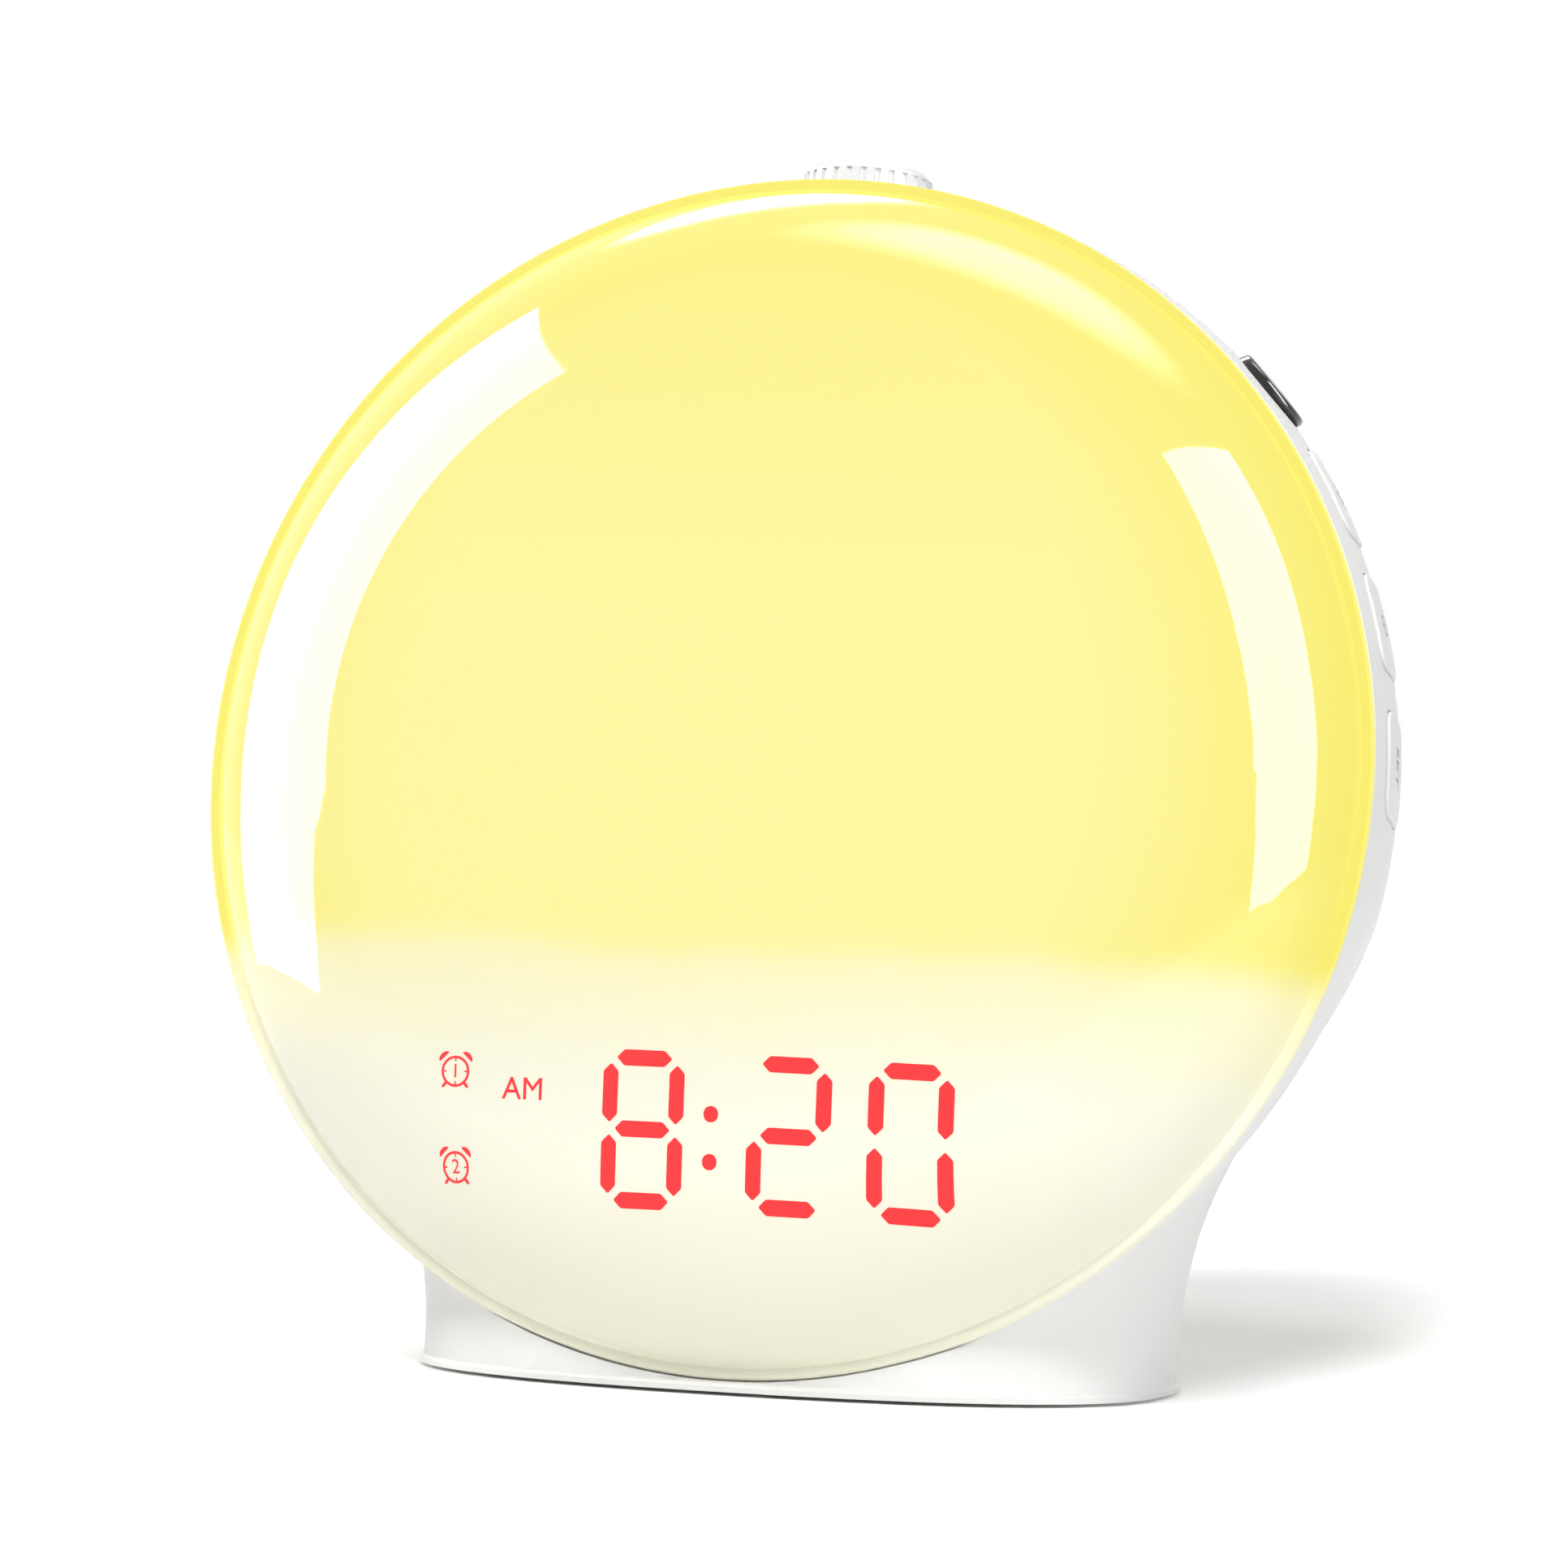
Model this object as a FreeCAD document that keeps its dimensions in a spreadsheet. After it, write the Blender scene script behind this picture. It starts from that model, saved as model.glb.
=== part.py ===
# Sunrise alarm clock: a round glowing diffuser in a leaning housing that stands on its own foot.
# All sizes are millimetres and degrees. The clock stands on Z = 0, its display looks along -Y, X is to the right.
import FreeCAD, Part
import Sketcher
import math
import os
import re
from FreeCAD import Placement, Rotation, Vector
from types import SimpleNamespace

# Driving sizes
SIZES = {
    # Round front and how the body stands
    "rim_radius": 82.0,
    "rim_setback": 14.5,
    "rim_foot_gap": 0.27,
    "front_lean": 9.46,
    "back_lean": 6.0,
    "back_reach": 56.2,
    # Housing shell
    "shell_wall": 2.2,
    "rear_wall": 5.0,
    "lip_width": 1.3,
    "lip_depth": 3.2,
    "side_swell": 0.077,
    "side_curve": 0.576,
    "back_rise": 4.4,
    "top_drop": 1.4,
    "top_drop_share": 0.3,
    "neck_front_angle": 72.5,
    "neck_side_angle": 10.0,
    "neck_back_angle": 42.0,
    "neck_side_share": 0.38,
    "neck_upper_pull": 0.355,
    "neck_lower_pull": 0.56,
    # Foot outline
    "foot_half_width": 51.5,
    "foot_setback": 16.8,
    "foot_front_depth": 34.0,
    "foot_back_depth": 43.0,
    "foot_squareness": 2.4,
    # Ledge inside the front opening
    "ledge_width": 10.0,
    "ledge_thickness": 2.0,
    "ear_inset": 12.5,
    "ear_diameter": 9.0,
    "ear_depth": 6.0,
    # Diffuser dome
    "dome_crown_radius": 304.0,
    "dome_edge_radius": 31.2,
    "dome_edge_angle": 65.0,
    "dome_wall": 1.8,
    "dome_gap": 0.15,
    "dome_rim_thickness": 1.15,
    "dome_rim_chamfer": 0.25,
    "dome_seat_gap": 0.1,
    "dome_boss_inset": 5.4,
    "dome_boss_diameter": 5.6,
    "dome_boss_height": 5.0,
    # Base plate and what stands on it
    "foot_pad_height": 0.5,
    "plate_edge": 1.1,
    "plate_overhang": 0.5,
    "tray_height": 1.8,
    "tray_front": 20.0,
    "tray_back": 35.5,
    "fit_gap": 0.3,
    "foot_pad_diameter": 9.0,
    "foot_pad_recess": 0.9,
    "foot_pad_spacing_x": 64.0,
    "foot_pad_spacing_y": 34.0,
    "base_boss_x": 43.5,
    "base_boss_spread": 24.0,
    "base_boss_height": 12.0,
    "base_boss_diameter": 7.5,
    # Screws
    "screw_shank": 2.5,
    "screw_pilot_gap": 0.1,
    "screw_head": 4.8,
    "screw_head_height": 1.3,
    "screw_length": 6.0,
    "small_screw_shank": 1.9,
    "small_screw_head": 3.6,
    "small_screw_head_height": 1.1,
    "small_screw_length": 4.0,
    # Rear cover
    "cover_radius": 62.0,
    "cover_thickness": 2.5,
    "cover_opening_radius": 52.0,
    "cover_screw_radius": 57.2,
    "cover_boss_depth": 6.0,
    "cover_boss_diameter": 7.0,
    "grille_hole": 3.0,
    "grille_pitch": 6.0,
    # Speaker
    "speaker_diameter": 50.0,
    "speaker_height": 6.0,
    "speaker_flange": 1.5,
    "speaker_depth": 10.0,
    "speaker_cone_diameter": 44.0,
    "speaker_throat_diameter": 20.0,
    "speaker_paper": 0.5,
    "magnet_diameter": 30.0,
    "magnet_height": 7.0,
    "speaker_clamp_radius": 27.8,
    "speaker_clamp_diameter": 7.0,
    "speaker_post_diameter": 5.0,
    "speaker_screw_length": 3.4,
    # Dial on top
    "dial_setback": 17.3,
    "dial_diameter": 17.8,
    "dial_height": 4.5,
    "dial_rise": 0.4,
    "dial_chamfer": 0.8,
    "dial_rib_width": 0.9,
    "dial_rib_depth": 0.45,
    "dial_rib_count": 28,
    "dial_hub_diameter": 9.2,
    "dial_hub_drop": 4.0,
    "dial_running_gap": 0.3,
    "seat_diameter": 23.0,
    "seat_rise": 0.1,
    "seat_depth": 5.5,
    "encoder_width": 11.8,
    "encoder_depth": 6.6,
    "encoder_collar_diameter": 7.0,
    "encoder_collar_height": 0.8,
    "shaft_diameter": 6.0,
    "shaft_flat": 1.5,
    "shaft_running_gap": 0.05,
    "shaft_cap_wall": 1.2,
    "encoder_post_spacing": 22.0,
    "encoder_post_diameter": 5.0,
    "encoder_board_length": 28.0,
    "encoder_board_width": 14.0,
    # Side buttons
    "side_angle": 23.4,
    "lower_button_angle": 3.8,
    "middle_button_angle": 17.3,
    "upper_button_angle": 30.5,
    "power_button_angle": 43.0,
    "button_setback": 13.0,
    "button_length": 13.2,
    "button_width": 11.6,
    "button_corner": 2.6,
    "button_proud": 0.4,
    "button_gap": 0.3,
    "button_flange": 0.9,
    "button_flange_thickness": 1.2,
    "button_travel": 0.5,
    "power_button_diameter": 11.6,
    "power_button_proud": 1.3,
    "stem_diameter": 4.4,
    "plunger_diameter": 3.4,
    "plunger_rise": 0.9,
    "plunger_gap": 0.05,
    "plunger_depth": 2.0,
    "switch_side": 6.0,
    "switch_height": 3.5,
    "side_board_depth": 20.5,
    "side_board_length": 66.0,
    "side_board_width": 21.0,
    "side_board_shift": 4.0,
    "side_post_x": 21.0,
    "side_post_y": 11.5,
    "side_post_diameter": 4.8,
    # Boards
    "board_thickness": 1.6,
    "main_board_length": 56.0,
    "main_board_width": 42.0,
    "main_board_level": 12.0,
    "main_board_setback": 13.0,
    "board_post_diameter": 5.0,
    "board_post_inset": 3.2,
    "light_screw_radius": 21.1,
    # Power inlet
    "inlet_x": 14.0,
    "inlet_body_width": 9.0,
    "inlet_body_height": 11.0,
    "inlet_body_length": 11.0,
    "inlet_nose_diameter": 8.0,
    "inlet_bore": 5.7,
    "inlet_pin": 2.0,
    "inlet_gap": 0.25,
    # Backup cell
    "cell_diameter": 20.0,
    "cell_height": 3.2,
    "cell_gap": 0.4,
    "holder_wall": 1.6,
    "door_diameter": 25.0,
    "door_gap": 0.25,
    "door_slot_width": 2.0,
    "door_slot_length": 16.0,
    "door_slot_depth": 0.9,
    "door_thickness": 2.4,
    "door_tab_width": 6.0,
    "door_tab_reach": 1.7,
    "door_tab_thickness": 1.1,
    "door_turn": 45.0,
    "holder_flange_diameter": 33.0,
    # Light
    "reflector_wall": 1.5,
    "reflector_flange_inset": 8.6,
    "reflector_mouth_inset": 17.0,
    "reflector_floor_radius": 25.0,
    "reflector_depth": 14.0,
    "shelf_level": 30.0,
    "light_board_diameter": 46.0,
    "led_side": 5.0,
    "led_height": 1.5,
    "led_ring_radius": 16.0,
    "led_ring_count": 12,
    # Display
    "display_left": 39.5,
    "display_right": 36.5,
    "display_top": 39.3,
    "display_bottom": 63.6,
    "display_front": 4.5,
    "display_depth": 10.5,
    "display_limit_inset": 12.0,
    "display_board_half": 39.2,
    "display_board_top": 34.2,
    "display_board_bottom": 68.6,
    "display_post_diameter": 4.0,
    "carrier_thickness": 1.5,
    "carrier_top": 32.0,
    "window_gap": 0.3,
    "digit_height": 18.5,
    "digit_width": 9.3,
    "digit_centre_level": 51.4,
    "segment_thickness": 2.0,
    "segment_joint": 1.1,
    "colon_side": 2.0,
    "colon_upper_level": 49.0,
    "colon_lower_level": 55.2,
    "colon_x": 1.4,
    "mark_diameter": 4.6,
    "light_pipe_gap": 0.6,
    # Leads
    "ribbon_width": 12.0,
    "ribbon_thickness": 0.5,
    "ribbon_bend": 4.0,
    "lead_diameter": 1.4,
    "lead_spacing": 2.2,
    "lead_bend": 5.0,
}

DIGITS = (("first", -8.1, "abcdefg"), ("second", 12.1, "abged"), ("third", 28.5, "abcdef"))
MARKS = ((-35.3, 44.8), (-35.3, 57.2), (-25.3, 46.9))
DOME_BOSS_ANGLES = (57, 123, 208, 332)
REFLECTOR_EAR_ANGLES = (348, 62, 118, 192)
CARRIER_EAR_ANGLES = (230, 310)
COVER_SCREW_ANGLES = (45, 135, 225, 315)
GRILLE_RINGS = 3
SECTION_COUNT = 21
SECTION_CROWDING = 1.4
OUTLINE_COUNT = 48

doc = FreeCAD.newDocument("sunrise_alarm_clock")
sheet = doc.addObject("Spreadsheet::Sheet", "Sizes")
for row, (alias, number) in enumerate(SIZES.items(), start=1):
    sheet.set("A%d" % row, alias)
    sheet.set("B%d" % row, str(number))
    sheet.setAlias("B%d" % row, alias)
doc.recompute()
size = SimpleNamespace(**{alias: float(getattr(sheet, alias)) for alias in SIZES})
NODES = []


def in_sheet(match):
    """Name the sheet in front of an alias, and leave every other word alone."""
    word = match.group(0)
    return "Sizes." + word if word in SIZES else word


def formula(value):
    """Turn a formula of aliases, or a number, into an expression of the sheet."""
    return re.sub(r"[a-z][a-z_0-9]+", in_sheet, str(value))


def bind(item, **values):
    for prop, value in values.items():
        item.setExpression(prop, formula(value))
    return item


def place_at(item, x, y, z):
    for axis, value in zip("xyz", (x, y, z)):
        item.setExpression("Placement.Base." + axis, formula(value))


def box(name, length, width, height, x=0, y=0, z=0):
    """Block centred on x and y that starts at z."""
    item = doc.addObject("Part::Box", name)
    bind(item, Length=length, Width=width, Height=height)
    place_at(item, "(%s) - (%s) / 2" % (x, length), "(%s) - (%s) / 2" % (y, width), z)
    return item


def cylinder(name, diameter, height, x=0, y=0, z=0):
    """Upright round bar that starts at z."""
    item = doc.addObject("Part::Cylinder", name)
    bind(item, Radius="(%s) / 2" % diameter, Height=height)
    place_at(item, x, y, z)
    return item


def turned(item, placement):
    """Give a block or bar a whole placement of its own."""
    for axis in "xyz":
        item.setExpression("Placement.Base." + axis, None)
    item.Placement = placement
    return item


def joined(name, *items):
    result = doc.addObject("Part::MultiFuse", name)
    result.Shapes = list(items)
    return result


def without(name, base, *tools):
    result = doc.addObject("Part::Cut", name)
    result.Base = base
    result.Tool = tools[0] if len(tools) == 1 else joined(name + "_tools", *tools)
    return result


def common(name, *items):
    result = doc.addObject("Part::MultiCommon", name)
    result.Shapes = list(items)
    return result


def group(name, *items):
    result = doc.addObject("Part::Compound", name)
    result.Links = list(items)
    return result


def shaped(name, shape):
    """Object whose shape is worked out here, for forms that no feature makes."""
    item = doc.addObject("Part::Feature", name)
    item.Shape = shape
    return item


def node(item, label, placement=None):
    """Finish a sub-part: its place in the clock and the name of its file."""
    if placement is not None:
        item.Placement = placement
    item.Label = label
    NODES.append(item)
    return item


def body_with_sketch(name, role):
    """New body with one sketch on one of its own origin planes."""
    body = doc.addObject("PartDesign::Body", name)
    return body, sketch_on(body, name + "_sketch", role)


def sketch_on(body, name, role, level=None):
    sketch = body.newObject("Sketcher::SketchObject", name)
    plane = [item for item in body.Origin.OriginFeatures if item.Role == role][0]
    sketch.AttachmentSupport = [(plane, "")]
    sketch.MapMode = "FlatFace"
    if level is not None:
        sketch.setExpression("AttachmentOffset.Base.z", formula(level))
    return sketch


def circle(sketch, diameter, x=0, y=0):
    """Circle whose diameter and centre follow the sheet."""
    index = sketch.addGeometry(Part.Circle(Vector(1, 1, 0), Vector(0, 0, 1), 1), False)
    constrain(sketch, "Diameter", 2, diameter, index)
    constrain(sketch, "DistanceX", 1, x, -1, 1, index, 3)
    constrain(sketch, "DistanceY", 1, y, -1, 1, index, 3)


def rectangle(sketch, length, width, x=0, y=0):
    """Rectangle centred on x and y whose sides follow the sheet."""
    corners = [Vector(0, 0, 0), Vector(2, 0, 0), Vector(2, 2, 0), Vector(0, 2, 0)]
    first = len(sketch.Geometry)
    for here, there in zip(corners, corners[1:] + corners[:1]):
        sketch.addGeometry(Part.LineSegment(here, there), False)
    for side in range(4):
        sketch.addConstraint(Sketcher.Constraint("Coincident", first + side, 2, first + (side + 1) % 4, 1))
        turn = "Horizontal" if side % 2 == 0 else "Vertical"
        sketch.addConstraint(Sketcher.Constraint(turn, first + side))
    constrain(sketch, "DistanceX", 2, length, first, 1, first, 2)
    constrain(sketch, "DistanceY", 2, width, first + 1, 1, first + 1, 2)
    constrain(sketch, "DistanceX", 1, "(%s) - (%s) / 2" % (x, length), -1, 1, first, 1)
    constrain(sketch, "DistanceY", 1, "(%s) - (%s) / 2" % (y, width), -1, 1, first, 1)


def constrain(sketch, kind, start, value, *where):
    """Add a sized constraint and bind it to the sheet."""
    index = sketch.addConstraint(Sketcher.Constraint(kind, *where, float(start)))
    sketch.setExpression("Constraints[%d]" % index, formula(value))


def outline(sketch, path):
    """Closed outline: each step is the end point of a line, or the middle and end points of an arc."""
    here = path[0]
    first = len(sketch.Geometry)
    for step in path[1:]:
        if len(step) == 2:
            sketch.addGeometry(Part.LineSegment(Vector(*here, 0), Vector(*step, 0)), False)
            here = step
        else:
            middle, end = step[:2], step[2:]
            sketch.addGeometry(Part.Arc(Vector(*here, 0), Vector(*middle, 0), Vector(*end, 0)), False)
            here = end
    return first


def feature(body, kind, name, sketch, **values):
    item = body.newObject("PartDesign::" + kind, name)
    item.Profile = sketch
    sketch.Visibility = False
    bind(item, **values)
    return item


def polar(body, name, original, count):
    """Repeat a feature round the body's Z axis."""
    pattern = body.newObject("PartDesign::PolarPattern", name)
    pattern.Originals = [original]
    pattern.Axis = ([item for item in body.Origin.OriginFeatures if item.Role == "Z_Axis"][0], [""])
    pattern.Angle = 360
    bind(pattern, Occurrences=count)
    body.Tip = pattern
    return pattern


# Places worked out from the driving sizes
LEAN = math.radians(size.front_lean)
BACK_LEAN = math.radians(size.back_lean)
PLATE_TOP = size.foot_pad_height + size.plate_edge
TRAY_TOP = PLATE_TOP + size.tray_height
RIM_HEIGHT = PLATE_TOP + size.rim_foot_gap + size.rim_radius * math.cos(LEAN)
RIM_FLOOR_Y = -size.rim_setback - RIM_HEIGHT * math.tan(LEAN)
BACK_FLOOR_Y = size.back_reach - size.rim_setback
FOOT_Y = size.foot_setback - size.rim_setback
BACK_MIDDLE = RIM_HEIGHT / math.cos(BACK_LEAN) + size.back_rise
SEAM_RADIUS = size.rim_radius - size.lip_width - size.dome_gap
LEDGE_BACK = size.lip_depth + size.ledge_thickness
PILOT = size.screw_shank + size.screw_pilot_gap
SMALL_PILOT = size.small_screw_shank + size.screw_pilot_gap
BEYOND = 20.0

# Front frame: x right, y up the rim plane, z out of the front, from the rim's centre
FRONT = Placement(Vector(0, -size.rim_setback, RIM_HEIGHT), Rotation(Vector(1, 0, 0), 90 - size.front_lean))
# Rear frame: the same as seen from behind, on the flat back
REAR = Placement(
    Vector(0, BACK_FLOOR_Y - BACK_MIDDLE * math.sin(BACK_LEAN), BACK_MIDDLE * math.cos(BACK_LEAN)),
    Rotation(Vector(1, 0, 0), size.back_lean)
    * Rotation(Vector(0, 0, 1), 180)
    * Rotation(Vector(1, 0, 0), 90),
)
# Dial frame: z outward through the top of the rim
DIAL = FRONT * Placement(Vector(0, 0, -size.dial_setback), Rotation(Vector(1, 0, 0), -90))
# Side frame: z outward along the way the side buttons travel, x up along the rim, y forward
SIDE = FRONT * Placement(
    Vector(0, 0, -size.button_setback),
    Rotation(Vector(0, 0, 1), size.side_angle) * Rotation(Vector(0, 1, 0), 90) * Rotation(Vector(0, 0, 1), 90),
)


def on_ring(radius, angle, level=0.0):
    turn = math.radians(angle)
    return Vector(radius * math.cos(turn), radius * math.sin(turn), level)


def bar(diameter, low, high, x=0.0, y=0.0):
    """Plain round bar shape between two levels."""
    return Part.makeCylinder(diameter / 2, high - low, Vector(x, y, low))


def block(x_low, x_high, y_low, y_high, low, high):
    return Part.makeBox(x_high - x_low, y_high - y_low, high - low, Vector(x_low, y_low, low))


def rounded_block(length, width, corner, low, high, x=0.0):
    """Upright block with rounded corners, centred on x."""
    solid = block(x - length / 2, x + length / 2, -width / 2, width / 2, low, high)
    upright = [edge for edge in solid.Edges if edge.BoundBox.ZLength > (high - low) / 2]
    return solid.makeFillet(corner, upright)


def placed(shape, placement):
    result = shape.copy()
    result.Placement = placement * result.Placement
    return result


# Housing outline


def body_section(share, inset):
    """Closed outline of the housing on the plane at this share of the way from the rim to the back.

    A circle, a little flattened on top, leaves into a concave neck on each side and ends in the foot.
    """
    lean = LEAN * (1 - share) - BACK_LEAN * share
    floor_y = RIM_FLOOR_Y + share * (BACK_FLOOR_Y - RIM_FLOOR_Y)
    behind = (floor_y + RIM_HEIGHT * math.tan(lean) + size.rim_setback) * math.cos(LEAN) / size.rim_radius
    radius = size.rim_radius * (1 + size.side_swell * behind - size.side_curve * behind**2) - inset
    middle = RIM_HEIGHT / math.cos(lean) + size.back_rise * share**2
    ahead = (1 - min(share, size.neck_side_share) / size.neck_side_share) ** 3
    after = max(0.0, (share - size.neck_side_share) / (1 - size.neck_side_share)) ** 2
    angle = -math.radians(
        size.neck_side_angle
        + (size.neck_front_angle - size.neck_side_angle) * ahead
        + (size.neck_back_angle - size.neck_side_angle) * after
    )
    ahead_of_top = 1 - min(1.0, share / size.top_drop_share)
    drop_at_top = 0.001 + size.top_drop * (1 - ahead_of_top**2)
    half = foot_half_width_at(floor_y) - inset
    foot_level = PLATE_TOP / math.cos(lean)
    leave_x = radius * math.cos(angle)
    leave_level = middle + radius * math.sin(angle)
    drop = leave_level - foot_level
    upper = size.neck_upper_pull * drop
    lower = size.neck_lower_pull * drop

    def point(x, level):
        return Vector(x, floor_y + level * math.sin(lean), level * math.cos(lean))

    def side(sign):
        crown = Part.Ellipse(point(sign * radius, middle), point(0, middle + radius - drop_at_top), point(0, middle))
        shoulder = Part.ArcOfEllipse(crown, 0, math.pi / 2)
        arc = Part.Arc(
            point(sign * radius, middle),
            point(sign * radius * math.cos(angle / 2), middle + radius * math.sin(angle / 2)),
            point(sign * leave_x, leave_level),
        )
        neck = Part.BezierCurve()
        neck.setPoles(
            [
                point(sign * leave_x, leave_level),
                point(sign * (leave_x + upper * math.sin(angle)), leave_level - upper * math.cos(angle)),
                point(sign * half, foot_level + lower),
                point(sign * half, foot_level),
            ]
        )
        sole = Part.LineSegment(point(sign * half, foot_level), point(sign * half, -foot_level))
        return [shoulder.toShape(), arc.toShape(), neck.toShape(), sole.toShape()]

    right, left = side(1), side(-1)
    bottom = Part.LineSegment(point(half, -foot_level), point(-half, -foot_level)).toShape()
    return Part.Wire(right + [bottom] + left[::-1])


def foot_half_width_at(y):
    depth = size.foot_front_depth if y < FOOT_Y else size.foot_back_depth
    reach = min(1.0, abs(y - FOOT_Y) / depth)
    return size.foot_half_width * (1 - reach**size.foot_squareness) ** (1 / size.foot_squareness)


def body_solid(inset, last=1.0):
    """The housing's outer form moved inwards by the inset, from the rim plane to the last share.

    The sections lie closer together near the front, where the neck changes fastest.
    """
    shares = [last * (index / (SECTION_COUNT - 1)) ** SECTION_CROWDING for index in range(SECTION_COUNT)]
    return Part.makeLoft([body_section(share, inset) for share in shares], True, False, False, 3)


def foot_outline(grow, low, high):
    """Flat plate with the foot's outline, grown by a margin and cut off at the back."""
    points = []
    for index in range(OUTLINE_COUNT):
        turn = 2 * math.pi * index / OUTLINE_COUNT
        depth = size.foot_back_depth if math.sin(turn) > 0 else size.foot_front_depth
        power = 2 / size.foot_squareness
        x = math.copysign(abs(math.cos(turn)) ** power, math.cos(turn)) * (size.foot_half_width + grow)
        y = math.copysign(abs(math.sin(turn)) ** power, math.sin(turn)) * (depth + grow)
        points.append(Vector(x, FOOT_Y + y, low))
    curve = Part.BSplineCurve()
    curve.interpolate(points, PeriodicFlag=True)
    solid = Part.Face(Part.Wire(curve.toShape())).extrude(Vector(0, 0, high - low))
    wide = size.foot_half_width + BEYOND
    return solid.common(block(-wide, wide, -wide, BACK_FLOOR_Y + grow, low, high))


OUTER = body_solid(0.0)

# Screws: the head stands on z = 0 and the shank goes down


def screw_master(name, shank, head, head_height, length):
    solid = joined(
        name + "_solid",
        cylinder(name + "_head", head, head_height),
        cylinder(name + "_shank", shank, length, 0, 0, "-" + length),
    )
    recess = joined(
        name + "_recess",
        box(name + "_slot", head + " * 0.6", 0.7, 0.6, 0, 0, head_height + " - 0.6"),
        box(name + "_cross_slot", 0.7, head + " * 0.6", 0.6, 0, 0, head_height + " - 0.6"),
    )
    return without(name, solid, recess)


SCREW = screw_master("screw", "screw_shank", "screw_head", "screw_head_height", "screw_length")
SMALL_SCREW = screw_master(
    "small_screw", "small_screw_shank", "small_screw_head", "small_screw_head_height", "small_screw_length"
)
CLAMP_SCREW = screw_master(
    "clamp_screw",
    "small_screw_shank",
    "speaker_clamp_diameter",
    "small_screw_head_height",
    "speaker_screw_length",
)
doc.recompute()
TURNED_OVER = Rotation(Vector(1, 0, 0), 180)
UPRIGHT = Rotation()


def screw_group(label, master, spots, turn, frame=Placement()):
    """Set of the same screws, each with the seat of its head on one of the spots."""
    shapes = [placed(master.Shape, Placement(spot, turn)) for spot in spots]
    return node(shaped(label, Part.makeCompound(shapes)), label, frame)


def corners(x, y, z=0.0, middle_y=0.0):
    return [Vector(side * x, middle_y + end * y, z) for side in (-1, 1) for end in (-1, 1)]


def pins(name, diameter, height, spots):
    """Same round bars on several spots, as one object."""
    bars = [
        cylinder("%s_%d" % (name, index), diameter, height, spot.x, spot.y, spot.z)
        for index, spot in enumerate(spots, start=1)
    ]
    return joined(name, *bars) if len(bars) > 1 else bars[0]


# Housing shell: the lofted wall, with ledges, posts and bosses grown inside it
DOME_BOSS_RADIUS = size.rim_radius - size.dome_boss_inset
EAR_RING_RADIUS = size.rim_radius - size.ear_inset
REFLECTOR_FLANGE_RADIUS = size.rim_radius - size.reflector_flange_inset
REFLECTOR_MOUTH_RADIUS = size.rim_radius - size.reflector_mouth_inset
DIAL_FLOOR = size.rim_radius + size.dial_rise
BUTTON_INNER = size.rim_radius - 22.0
BUTTON_OUTER = size.rim_radius + 13.0
LIGHT_SCREW_SPOTS = [on_ring(size.light_screw_radius, angle) for angle in (15, 135, 255)]
BASE_SCREW_SPOTS = corners(size.base_boss_x, size.base_boss_spread / 2, TRAY_TOP, FOOT_Y)
SIDE_POST_SPOTS = [Vector(side * size.side_post_x, -size.side_post_y, 0) for side in (-1, 1)]
ENCODER_POST_SPOTS = [Vector(side * size.encoder_post_spacing / 2, 0, 0) for side in (-1, 1)]
EAR_SPOTS = [on_ring(EAR_RING_RADIUS, angle) for angle in REFLECTOR_EAR_ANGLES + CARRIER_EAR_ANGLES]
DOME_BOSS_SPOTS = [on_ring(DOME_BOSS_RADIUS, angle) for angle in DOME_BOSS_ANGLES]
COVER_SPOTS = [on_ring(size.cover_screw_radius, angle) for angle in COVER_SCREW_ANGLES]
SEAT_FLOOR = size.rim_radius - size.seat_depth
ENCODER_TOP = SEAT_FLOOR - size.fit_gap
ENCODER_FLOOR = ENCODER_TOP - size.encoder_depth
SIDE_BOARD_LEVEL = size.rim_radius - size.side_board_depth
SIDE_BOARD_FACE = SIDE_BOARD_LEVEL + size.board_thickness
BUTTONS = {
    name: Vector(
        size.rim_radius * math.sin(math.radians(angle - size.side_angle)),
        0,
        size.rim_radius * math.cos(math.radians(angle - size.side_angle)),
    )
    for name, angle in (
        ("lower", size.lower_button_angle),
        ("middle", size.middle_button_angle),
        ("upper", size.upper_button_angle),
        ("power", size.power_button_angle),
    )
}
BOARD_TOP = size.main_board_level + size.board_thickness
BOARD_Y = size.main_board_setback
INLET_LEVEL = BOARD_TOP + size.inlet_body_height / 2
INLET_TURN = Rotation(Vector(1, 0, 0), -90)


def at_level(spots, level):
    return [Vector(spot.x, spot.y, level) for spot in spots]


def button_outline(name, grow, low, high):
    """Upright block with the outline of one side button, in the side frame."""
    x = BUTTONS[name].x
    if name == "power":
        return bar(size.power_button_diameter + 2 * grow, low, high, x)
    return rounded_block(
        size.button_length + 2 * grow, size.button_width + 2 * grow, size.button_corner + grow, low, high, x
    )


outer = shaped("housing_outer", OUTER)
hollow = shaped(
    "housing_hollow",
    body_solid(size.shell_wall, 1 - size.rear_wall / (BACK_FLOOR_Y - RIM_FLOOR_Y)),
)
wall = without("housing_wall", outer, hollow)

ledge_disc = cylinder("ledge_disc", "2 * rim_radius + 20", "lip_depth + ledge_thickness", 0, 0, -LEDGE_BACK)
ledge_opening = cylinder("ledge_opening", "2 * (rim_radius - ledge_width)", "ledge_thickness + 10", 0, 0, -LEDGE_BACK - 1)
ears = pins("housing_ears", "ear_diameter", "ear_depth", at_level(EAR_SPOTS, -size.lip_depth - size.ear_depth))
front_growth = joined("front_growth", without("ledge_ring", ledge_disc, ledge_opening), ears)
front_growth.Placement = FRONT

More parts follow.
